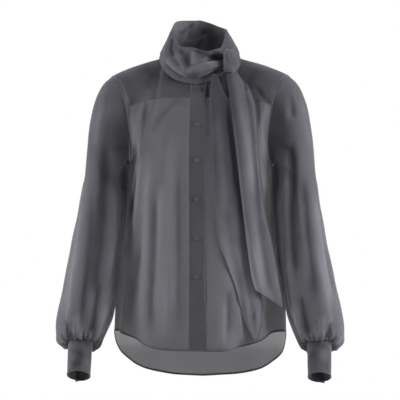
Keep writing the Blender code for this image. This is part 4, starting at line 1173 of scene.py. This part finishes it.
def makeCuff(name, node, side):
    sizes = cuffSizes
    end = 360 + sizes["overlap"]
    step = np.linspace(0, end, sizes["columns"])
    around = np.radians(sizes["start"] + step)
    # The lapped end is lifted over the start, and its lower corner hangs a little
    lift = sizes["lapLift"] * ease(step, 322, 354)
    corner = np.array([0.0, 0.0, -sizes["corner"]]) * ease(step, 360, end)[:, None]
    parts = np.linspace(0, 1, sizes["rows"])
    rows = [cuffRing(part, around, lift) + corner * part for part in parts]
    outer = sway(np.array(rows), side)
    away = (outer - outer.mean(axis=(0, 1))) * np.array([1.0, 1.0, 0.0])
    normals = outwardNormals(outer, False, away)
    share = parts[:, None]
    ridge = 0.22 * (bell(share, 0.03, 0.03) + bell(share, 0.97, 0.03))
    moved = softNoise(outer, 24, 71) * 0.2 * np.sin(np.pi * share) + ridge
    outer = outer + normals * moved[..., None]
    # Painted highlight on the raised edges and painted shade in the dips, a little darker overall,
    # and random unevenness; the inner layer gets painted shade
    fold = 0.5 * moved - 0.06 + 0.2 * softNoise(outer, 30, 72)
    return shell(name, node, outer, normals, sizes["thickness"], bandCloth, fold, 0.0, -0.3)


collarSizes = {
    "columns": 32,
    "centre": (-1.0, -2.0),
    "lie": 0.8,
    "pointLift": 1.7,
    "foldLift": 4.6,
    "fineRows": 111,
    "fineColumns": 192,
    "tipDrop": 3.6,
    "thickness": 0.9,
}
collarEdge = {
    "angle": (
        -180, -150, -130, -110, -95, -82, -70, -58, -47, -37, -25, -12, 0, 13, 22, 31, 42, 55, 62,
        70, 78, 88, 100, 120, 137, 156, 180,
    ),
    "height": (
        81, 80, 78.5, 74, 67, 57, 45, 33, 21, 16, 15, 14, 11, 7, 6, 9, 12, 17, 22, 36, 49, 56, 58,
        62.5, 67, 74, 81,
    ),
    "radiusX": (
        54, 54, 54, 54, 54.5, 54.5, 54, 53.5, 53, 53, 53, 53, 53, 54, 54, 54, 55, 55, 55, 55,
        55.5, 56, 55, 54.5, 54, 54, 54,
    ),
    "radiusY": (
        52, 52, 52, 52, 52, 53, 55, 58, 60, 62, 63, 63, 63, 63, 62, 61, 59, 56, 54, 52, 52, 52,
        52, 52, 52, 52, 52,
    ),
}
collarDroop = {
    "angle": (-180, -115, -92, -75, -55, -35, -15, 0, 12, 24, 60, 180),
    "drop": (4.5, 4.5, 6, 11, 15, 14.5, 11, 8.5, 5.5, 4.5, 4.5, 4.5),
}
collarBulge = {
    "angle": (-180, -120, -90, -60, -30, 0, 30, 60, 90, 130, 180),
    "size": (3, 2, 0, 5, 10, 12, 10, 5, 2, 2, 3),
}


def collarFolds(angle, rise):
    # Folds of the collar's front that draw towards the knot
    upperLine = 0.66 + 0.004 * (20 - angle)
    lowerLine = 0.42 - 0.004 * (20 - angle)
    nearFront = ease(angle, -28, 5) * fade(angle, 52, 66)
    trough = -5.0 * bell(rise, upperLine, 0.1) * nearFront
    ridge = 4.0 * bell(rise, lowerLine, 0.1) * nearFront
    crease = -4.5 * bell(angle + 18, 30 * (rise - 0.5), 8) * ease(rise, 0.15, 0.5)
    left = 3.5 * bell(angle + 52 + 40 * (rise - 0.3), 0, 12) * ease(rise, 0.1, 0.4)
    return (trough + ridge + crease + left) * fade(rise, 0.9, 1.0)


def collarGrid():
    angle = np.linspace(-180, 180, collarSizes["columns"] + 1)[:-1]
    front = np.abs(angle) / 90 * body["neckAngle"]
    behind = 180 - (180 - np.abs(angle)) / 90 * body["neckAngle"]
    chart = np.where(angle < 0, -1, 1) * np.where(np.abs(angle) <= 90, front, behind)
    turn = np.radians(angle)
    away = joined(np.sin(turn), -np.cos(turn), 0 * turn)
    drop = along(collarDroop, "drop", angle)
    base = skin(chart, 0 * chart)
    normal = skinNormal(chart, 0 * chart + 0.01)
    onward = unit(np.cross(np.roll(base, -1, axis=0) - np.roll(base, 1, axis=0), normal))
    leaves = ((away - np.array([0.0, 0.0, 0.5])) * onward).sum(axis=1, keepdims=True) > 0
    onward = np.where(leaves, onward, -onward)
    lift = collarSizes["pointLift"] * bell(np.abs(angle), 86, 13)[:, None]

    def seated(down, lie):
        return base + onward * np.reshape(down, (-1, 1)) + normal * (lie + lift)

    low = seated(drop, collarSizes["lie"] + collarSizes["foldLift"])
    rows = [seated(0.3 * drop, collarSizes["lie"]), seated(drop, collarSizes["lie"])]
    rows += [seated(drop + 2.0, collarSizes["lie"] + collarSizes["foldLift"] / 2), low]
    riseFrom = low + np.array([0.0, 0.0, 1.0]) * (2.2 + 0.3 * drop)[:, None] + normal * 0.6
    edge = joined(
        collarSizes["centre"][0] + along(collarEdge, "radiusX", angle) * np.sin(turn),
        collarSizes["centre"][1] - along(collarEdge, "radiusY", angle) * np.cos(turn),
        along(collarEdge, "height", angle),
    )
    bulge = along(collarBulge, "size", angle)
    for rise in np.linspace(0, 1, 8):
        swell = bulge * np.sin(np.pi * rise**0.8) + collarFolds(angle, rise)
        rows.append(riseFrom + (edge - riseFrom) * rise + away * swell[:, None])
    return np.array(rows)


def makeCollar():
    outer = finer(collarGrid(), collarSizes["fineRows"], collarSizes["fineColumns"], True)
    away = (outer - np.array([*collarSizes["centre"], 20.0])) * np.array([1.0, 1.0, 0.0])
    normals = gridNormals(outer, True)
    # The collar folds back on itself at its foot, so its standing part tells which side is out
    standing = 80
    normals = normals if (normals[standing] * away[standing]).sum() > 0 else -normals
    share = shares(outer)[0]
    folds = detail(outer, normals, collarCreases, -1.0, 1.7, 1.5)
    slanting = creaseField(outer, collarBackCreases, 1.2, 1.3) * ease(normals[..., 1], 0.05, 0.5)
    uneven = softNoise(outer * np.array([1, 1, 1.6]), 34, 81) * 0.3
    tip = np.exp(-np.abs(outer[..., 0] + 2) / 9) * fade(share, 0.26, 0.6) * (outer[..., 1] < 0)
    outer = outer - np.array([0.0, 0.35, 1.0]) * (collarSizes["tipDrop"] * tip)[..., None]
    moved = (folds + uneven + slanting) * ease(share, 0.3, 0.42)
    moved = moved * (1 - ease(share, 0.94, 1.0) * 0.7)
    outer = outer + normals * moved[..., None]
    x, y, z = outer[..., 0], outer[..., 1], outer[..., 2]
    # Painted shade: inner faces lighter, but darker at the back on the wearer's left, a painted
    # shadow beside the knot, the whole collar darker, and crease troughs darker, ridges lighter
    deep = np.clip(ease(x, -8, 28) * ease(y, -10, 30) + 0.1, 0, 1)
    shadowBesideKnot = np.exp(-(((x - 50) / 5) ** 2) - (((z + 14) / 24) ** 4)) * (y < -30)
    fold = np.clip(moved * 0.11, -0.4, 0.24) - 0.26 - 0.4 * shadowBesideKnot
    return shell("scarfCollar", "collar", outer, normals, collarSizes["thickness"], tieCloth,
                 fold, 0.0, 0.3 - 0.42 * deep, True)


tailSizes = {
    "columns": 10,
    "rows": 19,
    "fineRows": 150,
    "fineColumns": 60,
    "softness": 5.0,
    "rolledEdge": 0.35,
    "thickness": 0.9,
}
tailUpper = {
    "height": (-35.2, -58, -85, -136, -196, -277, -327, -377, -418, -468, -476, -514),
    "left": (57, 60, 64, 70.5, 78, 87, 92.5, 98.8, 104, 114, 117, 120),
    "right": (78, 96, 110, 119, 123, 131, 137, 149, 157, 165.5, 167, 173),
    "clearance": (11, 11, 11, 11, 11, 11, 11, 11.5, 12, 12.5, 12.5, 12.5),
    "front": (-60, -68, -80, -96, -102, -104, -105, -106, -107, -108, -108, -108),
}
tailLower = {
    "height": (
        -41, -58, -75, -95, -136, -176, -257, -337, -377, -401, -437, -477, -517, -548, -576,
    ),
    "left": (29, 26, 25.5, 26, 28.5, 31, 33.5, 37.5, 42.5, 51.5, 65.5, 79.5, 88.5, 99, 114),
    "right": (37, 43, 51, 62, 75, 85, 100, 112, 117, 119.5, 123, 127, 129.5, 127, 120),
    "clearance": (3.5, 3.5, 3.5, 3.5, 3.4, 3.4, 3.4, 3.4, 3.4, 3.4, 3.4, 3.4, 3.4, 3.4, 3.4),
    "front": (-66, -70, -76, -84, -92, -94, -94, -94, -95, -96, -97, -98, -98, -98, -98),
}
tailFoldsUpper = {
    "place": (0.08, 0.32, 0.68, 0.92),
    "depth": (-2.0, 2.5, -2.2, 1.6),
    "width": (0.1, 0.15, 0.13, 0.1),
}
tailFoldsLower = {"place": (0.2, 0.5, 0.8), "depth": (1.0, -0.8, 0.8), "width": (0.15, 0.12, 0.12)}
# Painted shade and highlight: tones at the top, 170 mm further down and at the end, then tones from
# left to right, darkest where the lower end lies under the upper one.
upperEnd = {
    "outline": tailUpper,
    "folds": tailFoldsUpper,
    "end": -476.0,
    "slant": 37.5,
    "creases": upperEndCreases,
    "shade": (-0.14, 0.1, 0.3),
    "aside": (-0.5, -0.2, 0.08, 0.16),
}
lowerEnd = {
    "outline": tailLower,
    "folds": tailFoldsLower,
    "end": -576.0,
    "slant": 0.0,
    "creases": lowerEndCreases,
    "shade": (-0.62, -0.42, 0.3),
    "aside": (0.0, -0.02, -0.24, -0.5),
}


def tailGrid(tail):
    table, end, slant = tail["outline"], tail["end"], tail["slant"]
    share = np.linspace(0, 1, tailSizes["columns"])
    steps = np.linspace(0, 1, tailSizes["rows"]) ** 0.92
    down = np.interp(steps, [0, 1], [table["height"][0], end])
    slope = ease(-down, 300, -end)
    xLeft = along(table, "left", down)
    xRight = along(table, "right", down - slant * slope)
    x = xLeft[:, None] + (xRight - xLeft)[:, None] * share
    z = down[:, None] - slant * slope[:, None] * share
    forward = skin(*onFront(x, z))[..., 1] - along(table, "clearance", z)
    front = along(table, "front", z)
    soft = tailSizes["softness"]
    y = np.minimum(forward, front) - soft * np.log1p(np.exp(-np.abs(forward - front) / soft))
    shown = ease(-down, 40, 90) * np.clip((xRight - xLeft) / 55, 0, 1)
    for place, depth, width in zip(*tail["folds"].values()):
        y = y - 0.8 * depth * bell(share[None, :], place, width * 1.3) * shown[:, None]
    return joined(x, y, z)


def makeTail(name, node, tail):
    outer = finer(tailGrid(tail), tailSizes["fineRows"], tailSizes["fineColumns"])
    away = np.broadcast_to(np.array([0.0, -1.0, 0.0]), outer.shape)
    normals = outwardNormals(outer, False, away)
    share = shares(outer)[1]
    uneven = softNoise(outer * np.array([1, 1, 0.4]), 40, 91) * 0.3
    rolled = tailSizes["rolledEdge"] * (bell(share, 0, 0.02) + bell(share, 1, 0.02))
    moved = creaseField(outer, tail["creases"], 1.0, 1.6) + uneven + rolled
    outer = outer + normals * moved[..., None]
    depth, top = -outer[..., 2], -outer[0, 0, 2]
    # Painted shade and highlight along each end and across it, and crease troughs darker, ridges
    # lighter
    tone = np.interp(depth, (top, top + 170, -tail["end"]), tail["shade"])
    tone = tone + np.interp(share, (0, 0.35, 0.65, 1), tail["aside"]) * fade(depth, 330, 430)
    fold = np.clip(moved * 0.085, -0.3, 0.2) + tone
    return shell(name, node, outer, normals, tailSizes["thickness"], tieCloth, fold)


knotSizes = {"rows": 90, "columns": 128, "capRows": 12, "crumple": 0.9, "ruffle": 1.3}
knotRings = {
    "height": (12.5, 9.5, 3, -5, -13, -21, -28, -32.5, -34.5),
    "left": (59, 54, 51, 50, 49.5, 49, 50, 53, 57),
    "right": (70, 76, 81, 84, 85.5, 85, 82, 78.5, 75),
    "front": (-63, -69, -73.5, -75.5, -76, -75.5, -73.5, -70, -66),
    "back": (-56, -52, -49, -47.5, -47, -47, -48, -50.5, -54),
}


def makeKnot():
    turn = np.linspace(0, 2 * np.pi, 17)[:-1]
    rings = []
    for height, left, right, front, back in zip(*knotRings.values()):
        wide = np.sign(np.cos(turn)) * np.abs(np.cos(turn)) ** 0.75 * (right - left) / 2
        deep = np.sign(np.sin(turn)) * np.abs(np.sin(turn)) ** 0.75 * (back - front) / 2
        x = (left + right) / 2 + wide
        rings.append(joined(x, (front + back) / 2 + deep, 0 * turn + height + 0.06 * (x - 67)))
    rings = finer(np.array(rings), knotSizes["rows"], knotSizes["columns"], True)
    top, low = rings[0].mean(axis=0), rings[-1].mean(axis=0)
    closing = np.linspace(0.03, 1, knotSizes["capRows"])[:, None, None]
    crown = top + (rings[0] - top) * closing + np.array([0, 0, 2.0]) * (1 - closing**2)
    closing = closing[::-1]
    sole = low + (rings[-1] - low) * closing - np.array([0, 0, 1.0]) * (1 - closing**2)
    outer = np.concatenate([crown[:-1], rings, sole[1:]])
    normals = outwardNormals(outer, True, outer - outer.mean(axis=(0, 1)))
    lines = creaseField(outer, knotCreases) * ease(-normals[..., 1], -0.2, 0.3)
    bulging = np.sin(np.pi * shares(outer)[0]) ** 0.4
    crumple = softNoise(outer * np.array([1.0, 1.0, 0.5]), 14, 101) * knotSizes["crumple"] * bulging
    ruffle = softNoise(outer, 7, 102) * knotSizes["ruffle"] * ease(outer[..., 2], 3, 10)
    moved = lines + crumple + ruffle
    outer = outer + normals * moved[..., None]
    rows, columns = outer.shape[:2]
    faces = tubeFaces(rows, columns, turned=True)
    faces.append(tuple(range(columns)))
    faces.append(tuple(range((rows - 1) * columns, rows * columns))[::-1])
    thing = plainMesh("tieKnot", outer.reshape(-1, 3), faces, tieCloth)
    # Painted shade: the knot darker overall and darker still on its sideways faces, crease troughs
    # darker
    sideShade = ease(np.abs(normals[..., 0]), 0.45, 0.95)
    fold = np.clip(moved * 0.08, -0.3, 0.2) - 0.2 - 0.26 * sideShade
    setField(thing.data, "fold", fold.ravel())
    setField(thing.data, "dense", np.ones(rows * columns))
    drawCut(thing.data)
    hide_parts("knot")


frontRight = makeFront("frontRight", "front_right", -1)
frontLeft = makeFront("frontLeft", "front_left", 1)
placket = makeBand("frontPlacket", "placket", 0.0, bandCloth)
underBand = makeBand("buttonBand", "button_band", -band["step"], sheerCloth)
back = makeBack()
yoke = makeYoke()
print("body panels made")
backOfRight, backOfLeft = mirrored(leftSleeveCreases, -20), mirrored(rightSleeveCreases, -12)
sleeveRight = makeSleeve("sleeveRight", "sleeve_right", -1, rightSleeveCreases, backOfRight)
sleeveLeft = makeSleeve("sleeveLeft", "sleeve_left", 1, leftSleeveCreases, backOfLeft)
cuffRight = makeCuff("cuffRight", "cuff_right", -1)
cuffLeft = makeCuff("cuffLeft", "cuff_left", 1)
print("sleeves and cuffs made")
collar = makeCollar()
tailUpperPiece = makeTail("tieEndUpper", "tail_upper", upperEnd)
tailLowerPiece = makeTail("tieEndLower", "tail_lower", lowerEnd)
makeKnot()
print("tie made")


def fromEdge(name, edge, rows=None):
    # A piece's grid and outward directions, turned so that their first row is the named edge
    grid, away = (part[:rows] for part in surfaces[name])
    if edge in ("left", "right"):
        grid, away = np.swapaxes(grid, 0, 1), np.swapaxes(away, 0, 1)
    if edge in ("bottom", "right"):
        grid, away = grid[::-1], away[::-1]
    return grid, away


# Cross-section of a rolled edge: how far in from the edge and how far out of the cloth
rolledSection = ((-0.5, 0.5), (-0.2, 0.9), (0.3, 1), (0.75, 1), (0.97, 0.8), (1, 0.3))
rolledSection += tuple((across, -out) for across, out in rolledSection[::-1])


def edgeFold(name, grid, away, width, depth, inside=0.55, slotName="sheer_cloth"):
    # The turned edge or seam allowance of a piece: a flat roll that holds the edge of its grid
    line = grid[0]
    onward = unit(np.gradient(line, axis=0))
    inward = unit(grid[2] - grid[0])
    normal = unit(away[0])
    for way in (onward, inward):
        normal = unit(normal - (normal * way).sum(-1, keepdims=True) * way)
    rings = []
    for across, out in rolledSection:
        reach = across * width if across > 0 else across * 0.8
        rings.append(line + inward * reach + normal * (out * depth - inside / 2))
    rings = np.stack(rings, axis=1)
    count, around = rings.shape[:2]
    faces = tubeFaces(count, around)
    faces.append(tuple(range(around))[::-1])
    faces.append(tuple(range((count - 1) * around, count * around)))
    thing = plainMesh(name, rings.reshape(-1, 3), faces, hemCloth)
    mesh = thing.data
    mesh.calc_loop_triangles()
    place = np.array([vertex.co[:] for vertex in mesh.vertices])
    corners = np.array([triangle.vertices[:] for triangle in mesh.loop_triangles])
    a, b, c = (place[corners[:, corner]] for corner in range(3))
    if (a * np.cross(b, c)).sum() < 0:
        mesh.flip_normals()
    drawCut(mesh)


def stitchTree():
    # Runs short threads along every line of a mesh of edges
    tree = bpy.data.node_groups.new("running stitch", "GeometryNodeTree")
    socket = tree.interface.new_socket
    socket(name="Geometry", in_out="INPUT", socket_type="NodeSocketGeometry")
    for word, value in (("Spacing", 0.0028), ("Stitch length", 0.002), ("Thread radius", 0.00018)):
        socket(name=word, in_out="INPUT", socket_type="NodeSocketFloat").default_value = value
    socket(name="Thread", in_out="INPUT", socket_type="NodeSocketMaterial")
    socket(name="Geometry", in_out="OUTPUT", socket_type="NodeSocketGeometry")

    def node(kind, links=(), **settings):
        made = tree.nodes.new(kind)
        for word, value in settings.items():
            setattr(made, word, value)
        for word, source in dict(links).items():
            if isinstance(source, (int, float, tuple)):
                made.inputs[word].default_value = source
            else:
                tree.links.new(source, made.inputs[word])
        return made

    given = node("NodeGroupInput")
    line = node("GeometryNodeMeshToCurve", {"Mesh": given.outputs["Geometry"]})
    spaced = {"Curve": line.outputs[0], "Length": given.outputs["Spacing"]}
    even = node("GeometryNodeResampleCurve", spaced, mode="LENGTH")
    tangent = node("GeometryNodeInputTangent")
    turned = node("FunctionNodeAlignRotationToVector", {"Vector": tangent.outputs[0]}, axis="Z")
    sizes = {"Radius": given.outputs["Thread radius"], "Depth": given.outputs["Stitch length"]}
    thread = node(
        "GeometryNodeMeshCylinder", {"Vertices": 6, **sizes}, fill_type="TRIANGLE_FAN"
    )
    put = {"Points": even.outputs[0], "Instance": thread.outputs["Mesh"]}
    placed = node("GeometryNodeInstanceOnPoints", {**put, "Rotation": turned.outputs[0]})
    real = node("GeometryNodeRealizeInstances", {"Geometry": placed.outputs[0]})
    colour = {"Geometry": real.outputs[0], "Material": given.outputs["Thread"]}
    coloured = node("GeometryNodeSetMaterial", colour)
    made = node("NodeGroupOutput")
    tree.links.new(coloured.outputs[0], made.inputs[0])
    return tree


stitching = stitchTree()


def setInput(modifier, word, value):
    for item in modifier.node_group.interface.items_tree:
        if item.item_type == "SOCKET" and item.in_out == "INPUT" and item.name == word:
            modifier[item.identifier] = value


def evaluated(thing):
    # The mesh that a helper object gives, after which the helper goes
    bpy.context.view_layer.update()
    ready = thing.evaluated_get(bpy.context.evaluated_depsgraph_get())
    mesh = bpy.data.meshes.new_from_object(ready)
    bpy.data.objects.remove(thing)
    return mesh


def sewLines(name, lines, spacing=2.8, length=2.0, radius=0.17):
    points, edges = [], []
    for line in lines:
        first = len(points)
        points += (np.asarray(line) / 1000).tolist()
        edges += [(first + step, first + step + 1) for step in range(len(line) - 1)]
    mesh = bpy.data.meshes.new(name + "Line")
    mesh.from_pydata(points, edges, [])
    guide = bpy.data.objects.new(name + "Line", mesh)
    bpy.context.scene.collection.objects.link(guide)
    modifier = guide.modifiers.new("stitches", "NODES")
    modifier.node_group = stitching
    sizes = {"Spacing": spacing, "Stitch length": length, "Thread radius": radius}
    for word, value in sizes.items():
        setInput(modifier, word, value / 1000)
    setInput(modifier, "Thread", sewingThread)
    done = evaluated(guide)
    done.name = name
    if not done.materials:
        done.materials.append(sewingThread)
    addPiece(name, done)


def inset(name, edge, distance, lift=0.16):
    # A line that runs beside an edge of a piece, a distance in from it and lifted off the cloth
    grid, away = fromEdge(name, edge)
    legs = np.linalg.norm(np.diff(grid, axis=0), axis=2)
    walked = np.concatenate([np.zeros((1, grid.shape[1])), np.cumsum(legs, axis=0)])
    line = []
    for column in range(grid.shape[1]):
        at = np.interp(distance, walked[:, column], np.arange(len(grid)))
        low = min(int(at), len(grid) - 2)
        part = at - low
        point = grid[low, column] * (1 - part) + grid[low + 1, column] * part
        line.append(point + unit(away[low, column]) * lift)
    return np.array(line)


buttonSizes = {
    "radius": 5.2,
    "thickness": 2.0,
    "bevel": 0.16,
    "rim": 0.675,
    "rimWidth": 0.72,
    "holeRadius": 0.75,
    "holeSpacing": 1.35,
    "threadRadius": 0.2,
    "threadShift": 0.22,
    "tilts": (12, -20, 34, 5, -38, 18, 10, -25, 30, -8),
}
# Half of a thread's line over the button, from its hole to the middle: across and height
threadLine = ((-1.0, -0.9), (-0.8, 0.2), (-0.4, 0.42), (0, 0.46))
threadLine += tuple((-across, height) for across, height in threadLine[-2::-1])


def buttonMesh():
    # A disc with four holes and a raised rim, facing +Z with its back at 0
    sizes = buttonSizes
    curve = bpy.data.curves.new("disc", "CURVE")
    curve.dimensions = "2D"
    curve.fill_mode = "BOTH"
    curve.extrude = (sizes["thickness"] - 0.9) / 2
    curve.bevel_depth = sizes["bevel"]
    curve.bevel_resolution = 2
    gap = sizes["holeSpacing"]
    rounds = [(0, 0, sizes["radius"] - 0.25, 40)]
    rounds += [(x * gap, y * gap, sizes["holeRadius"], 12) for x in (-1, 1) for y in (-1, 1)]
    for x, y, radius, count in rounds:
        spline = curve.splines.new("POLY")
        spline.points.add(count - 1)
        for step in range(count):
            turn = 2 * math.pi * step / count
            place = (x + radius * math.cos(turn), y + radius * math.sin(turn), 0, 1)
            spline.points[step].co = place
        spline.use_cyclic_u = True
    holder = bpy.data.objects.new("disc", curve)
    bpy.context.scene.collection.objects.link(holder)
    disc = evaluated(holder)
    lift = sizes["thickness"] / 2 - 0.1
    points = [(*vertex.co[:2], vertex.co[2] + lift) for vertex in disc.vertices]
    faces = [tuple(polygon.vertices) for polygon in disc.polygons]
    around, section = 40, 8
    faces += tubeFaces(around, section, len(points), looped=True, turned=True)
    for step in range(around):
        turn = 2 * math.pi * step / around
        for corner in range(section):
            bend = 2 * math.pi * corner / section
            reach = sizes["radius"] - 0.75 + sizes["rimWidth"] * math.cos(bend)
            height = sizes["thickness"] - 0.75 + sizes["rim"] * math.sin(bend)
            points.append((reach * math.cos(turn), reach * math.sin(turn), height))
    return points, faces


def threadBars():
    # Two pairs of threads through the holes, as bent bars over the middle
    sizes = buttonSizes
    points, faces = [], []
    top, gap, radius = sizes["thickness"] - 0.35, sizes["holeSpacing"], sizes["threadRadius"]
    for shift in (-sizes["threadShift"], sizes["threadShift"]):
        for side in (-1, 1):
            faces += tubeFaces(len(threadLine), 6, len(points))
            for across, height in threadLine:
                for corner in range(6):
                    bend = 2 * math.pi * corner / 6
                    y = side * gap + shift + radius * math.cos(bend)
                    points.append((across * gap, y, top + height + radius * math.sin(bend)))
    return points, faces


buttonParts = buttonMesh()
threadParts = threadBars()


def makeButton(name, node, tilt, middleOfCuff):
    # Each button lies where its solid does, and faces out of the cloth as that one does
    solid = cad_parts[node].data
    place = np.array([vertex.co[:] for vertex in solid.vertices]) * 1000
    middle = (place.max(axis=0) + place.min(axis=0)) / 2
    spread = place - place.mean(axis=0)
    normal = np.linalg.svd(spread, full_matrices=False)[2][2]
    outward = np.array([0.0, -1.0, 0.0]) if middleOfCuff is None else middle - middleOfCuff
    normal = normal if normal @ outward > 0 else -normal
    across = unit(np.cross(np.array([0.0, 0.0, 1.0]), normal))
    up = np.cross(normal, across)
    cos, sin = math.cos(math.radians(tilt)), math.sin(math.radians(tilt))
    across, up = across * cos + up * sin, up * cos - across * sin
    lift = (spread @ normal).min() + place.mean(axis=0) @ normal - middle @ normal + 0.1
    kinds = (("", buttonParts, buttonShell), ("Thread", threadParts, sewingThread))
    for word, (points, faces), finish in kinds:
        x, y, z = (np.array(points)[:, column, None] for column in range(3))
        points = middle + across * x + up * y + normal * (z + lift)
        plainMesh(name + word, points, faces, finish, word == "Thread")
    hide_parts(node)
    return middle, normal


buttonholeSizes = {"halfLength": 6.9, "halfWidth": 0.7, "below": 1.55, "points": 9}


def buttonhole(middle, normal):
    # Bars of thread on both sides of an upright slit, and one across each of its ends
    sizes = buttonholeSizes
    foot = middle - normal * sizes["below"]
    corners = []
    for x, z in ((-1, 1), (-1, -1), (1, -1), (1, 1)):
        corners.append(foot + np.array([sizes["halfWidth"] * x, 0.0, sizes["halfLength"] * z]))
    return [np.linspace(corners[n - 4], corners[n - 3], sizes["points"]) for n in range(4)]


# Rolled hems and seam allowances: piece, edge, width, depth, and how many rows are used
strips = {
    "frontHemRight": ("frontRight", "bottom", 3.4, 0.8),
    "frontHemLeft": ("frontLeft", "bottom", 3.4, 0.8),
    "backHem": ("backPanel", "bottom", 3.6, 0.8),
    "placketHem": ("frontPlacket", "bottom", 3.4, 0.9),
    "yokeSeamBack": ("shoulderYoke", "top", 3.2, 0.7),
    "shoulderSeamRight": ("frontRight", "top", 2.4, 0.6),
    "shoulderSeamLeft": ("frontLeft", "top", 2.4, 0.6),
    "armholeSeamRight": ("frontRight", "left", 2.4, 0.6, 78),
    "armholeSeamLeft": ("frontLeft", "left", 2.4, 0.6, 78),
    "cuffEdgeRight": ("cuffRight", "bottom", 2.2, 0.8),
    "cuffEdgeLeft": ("cuffLeft", "bottom", 2.2, 0.8),
}
for name, (piece, edge, width, depth, *rows) in strips.items():
    edgeFold(name, *fromEdge(piece, edge, *rows), width, depth)
tieEdges = {"tieEndUpper": ("right", "bottom"), "tieEndLower": ("left", "right", "bottom")}
for piece, edges in tieEdges.items():
    for edge in edges:
        name = piece + edge.capitalize() + "Edge"
        edgeFold(name, *fromEdge(piece, edge), 1.0, 0.62, 0.9, "tie_cloth")

buttonholes = []
fronts = [f"button_{number}" for number in range(1, 7)]
cuffs = [f"cuff_button_{side}_{number}" for side in ("right", "left") for number in (1, 2)]
for node, tilt in zip(fronts + cuffs, buttonSizes["tilts"]):
    words = [word.capitalize() for word in node.replace("button_", "").split("_")]
    cuffMiddle = surfaces["cuff" + words[1]][0].mean(axis=(0, 1)) if node in cuffs else None
    middle, normal = makeButton("button" + "".join(words), node, tilt, cuffMiddle)
    if node in fronts:
        buttonholes += buttonhole(middle, normal)
sewLines("buttonholeThread", buttonholes, spacing=0.7, length=1.0, radius=0.34)
# Stitching: the piece, and each edge with the distance in from it
stitchLines = {
    "placketStitches": ("frontPlacket", (("left", 2.6), ("right", 2.6))),
    "frontHemStitchesRight": ("frontRight", (("bottom", 3.6),)),
    "frontHemStitchesLeft": ("frontLeft", (("bottom", 3.6),)),
    "backHemStitches": ("backPanel", (("bottom", 3.8),)),
    "yokeStitches": ("shoulderYoke", (("top", 2.2),)),
    "cuffStitchesRight": ("cuffRight", (("top", 3.2), ("bottom", 3.2))),
    "cuffStitchesLeft": ("cuffLeft", (("top", 3.2), ("bottom", 3.2))),
}
for name, (piece, places) in stitchLines.items():
    sewLines(name, [inset(piece, edge, distance) for edge, distance in places])
print("edges, buttons and stitches made")

stage = {
    "ambient": 0.21,
    "floorHeight": -1.4,
    "floorSize": 6.0,
    "azimuth": 3.0,
    "distance": 3.5,
    "aim": (0.0, 0.0, -0.296),
    "frameWidth": 0.828,
    "lightAim": (0.0, 0.0, -0.3),
    "sensor": 36.0,
}
# Name, place in metres, power and size of each light
softLights = (
    ("left softbox", (-2.4, -0.7, 0.4), 128.0, 1.2),
    ("right softbox", (2.4, -0.7, 0.4), 162.0, 1.2),
    ("front fill", (0.6, -3.0, 0.7), 18.0, 1.6),
    ("back fill", (-0.5, 3.0, 0.9), 34.0, 1.6),
)


def makeStage():
    scene = bpy.context.scene
    noise = {"Scale": 6.0, "Detail": 3.0}
    paint = mottled("pale floor", (0.78, 0.78, 0.78), (0.82, 0.82, 0.82), noise)[0].material
    place = (0, 0, stage["floorHeight"])
    bpy.ops.mesh.primitive_plane_add(size=stage["floorSize"], location=place)
    floor = bpy.context.object
    floor.name = "floor"
    floor.data.materials.append(paint)
    world = bpy.data.worlds.new("white studio")
    world.use_nodes = True
    # The backdrop is pure white to the eye, but only dimly lights the cloth
    sky = world.node_tree
    path = sky.nodes.new("ShaderNodeLightPath")
    level = sky.nodes.new("ShaderNodeMapRange")
    level.inputs["To Min"].default_value = stage["ambient"]
    level.inputs["To Max"].default_value = 1.0
    sky.links.new(path.outputs["Is Camera Ray"], level.inputs["Value"])
    sky.links.new(level.outputs[0], sky.nodes["Background"].inputs["Strength"])
    sky.nodes["Background"].inputs["Color"].default_value = (1, 1, 1, 1)
    scene.world = world
    scene.view_settings.view_transform = "Standard"
    scene.view_settings.look = "None"
    camera = bpy.data.objects.new("camera", bpy.data.cameras.new("camera"))
    scene.collection.objects.link(camera)
    turn, distance = math.radians(stage["azimuth"]), stage["distance"]
    x, y, z = stage["aim"]
    camera.location = (x + distance * math.sin(turn), y - distance * math.cos(turn), z)
    camera.rotation_euler = (math.radians(90), 0, turn)
    camera.data.sensor_width = stage["sensor"]
    camera.data.lens = stage["sensor"] * distance / stage["frameWidth"]
    scene.camera = camera
    for name, place, power, size in softLights:
        light = bpy.data.objects.new(name, bpy.data.lights.new(name, "AREA"))
        light.data.energy = power
        light.data.size = size
        light.location = place
        towards = Vector(stage["lightAim"]) - Vector(place)
        light.rotation_euler = towards.to_track_quat("-Z", "Y").to_euler()
        scene.collection.objects.link(light)


makeStage()
print("stage made")
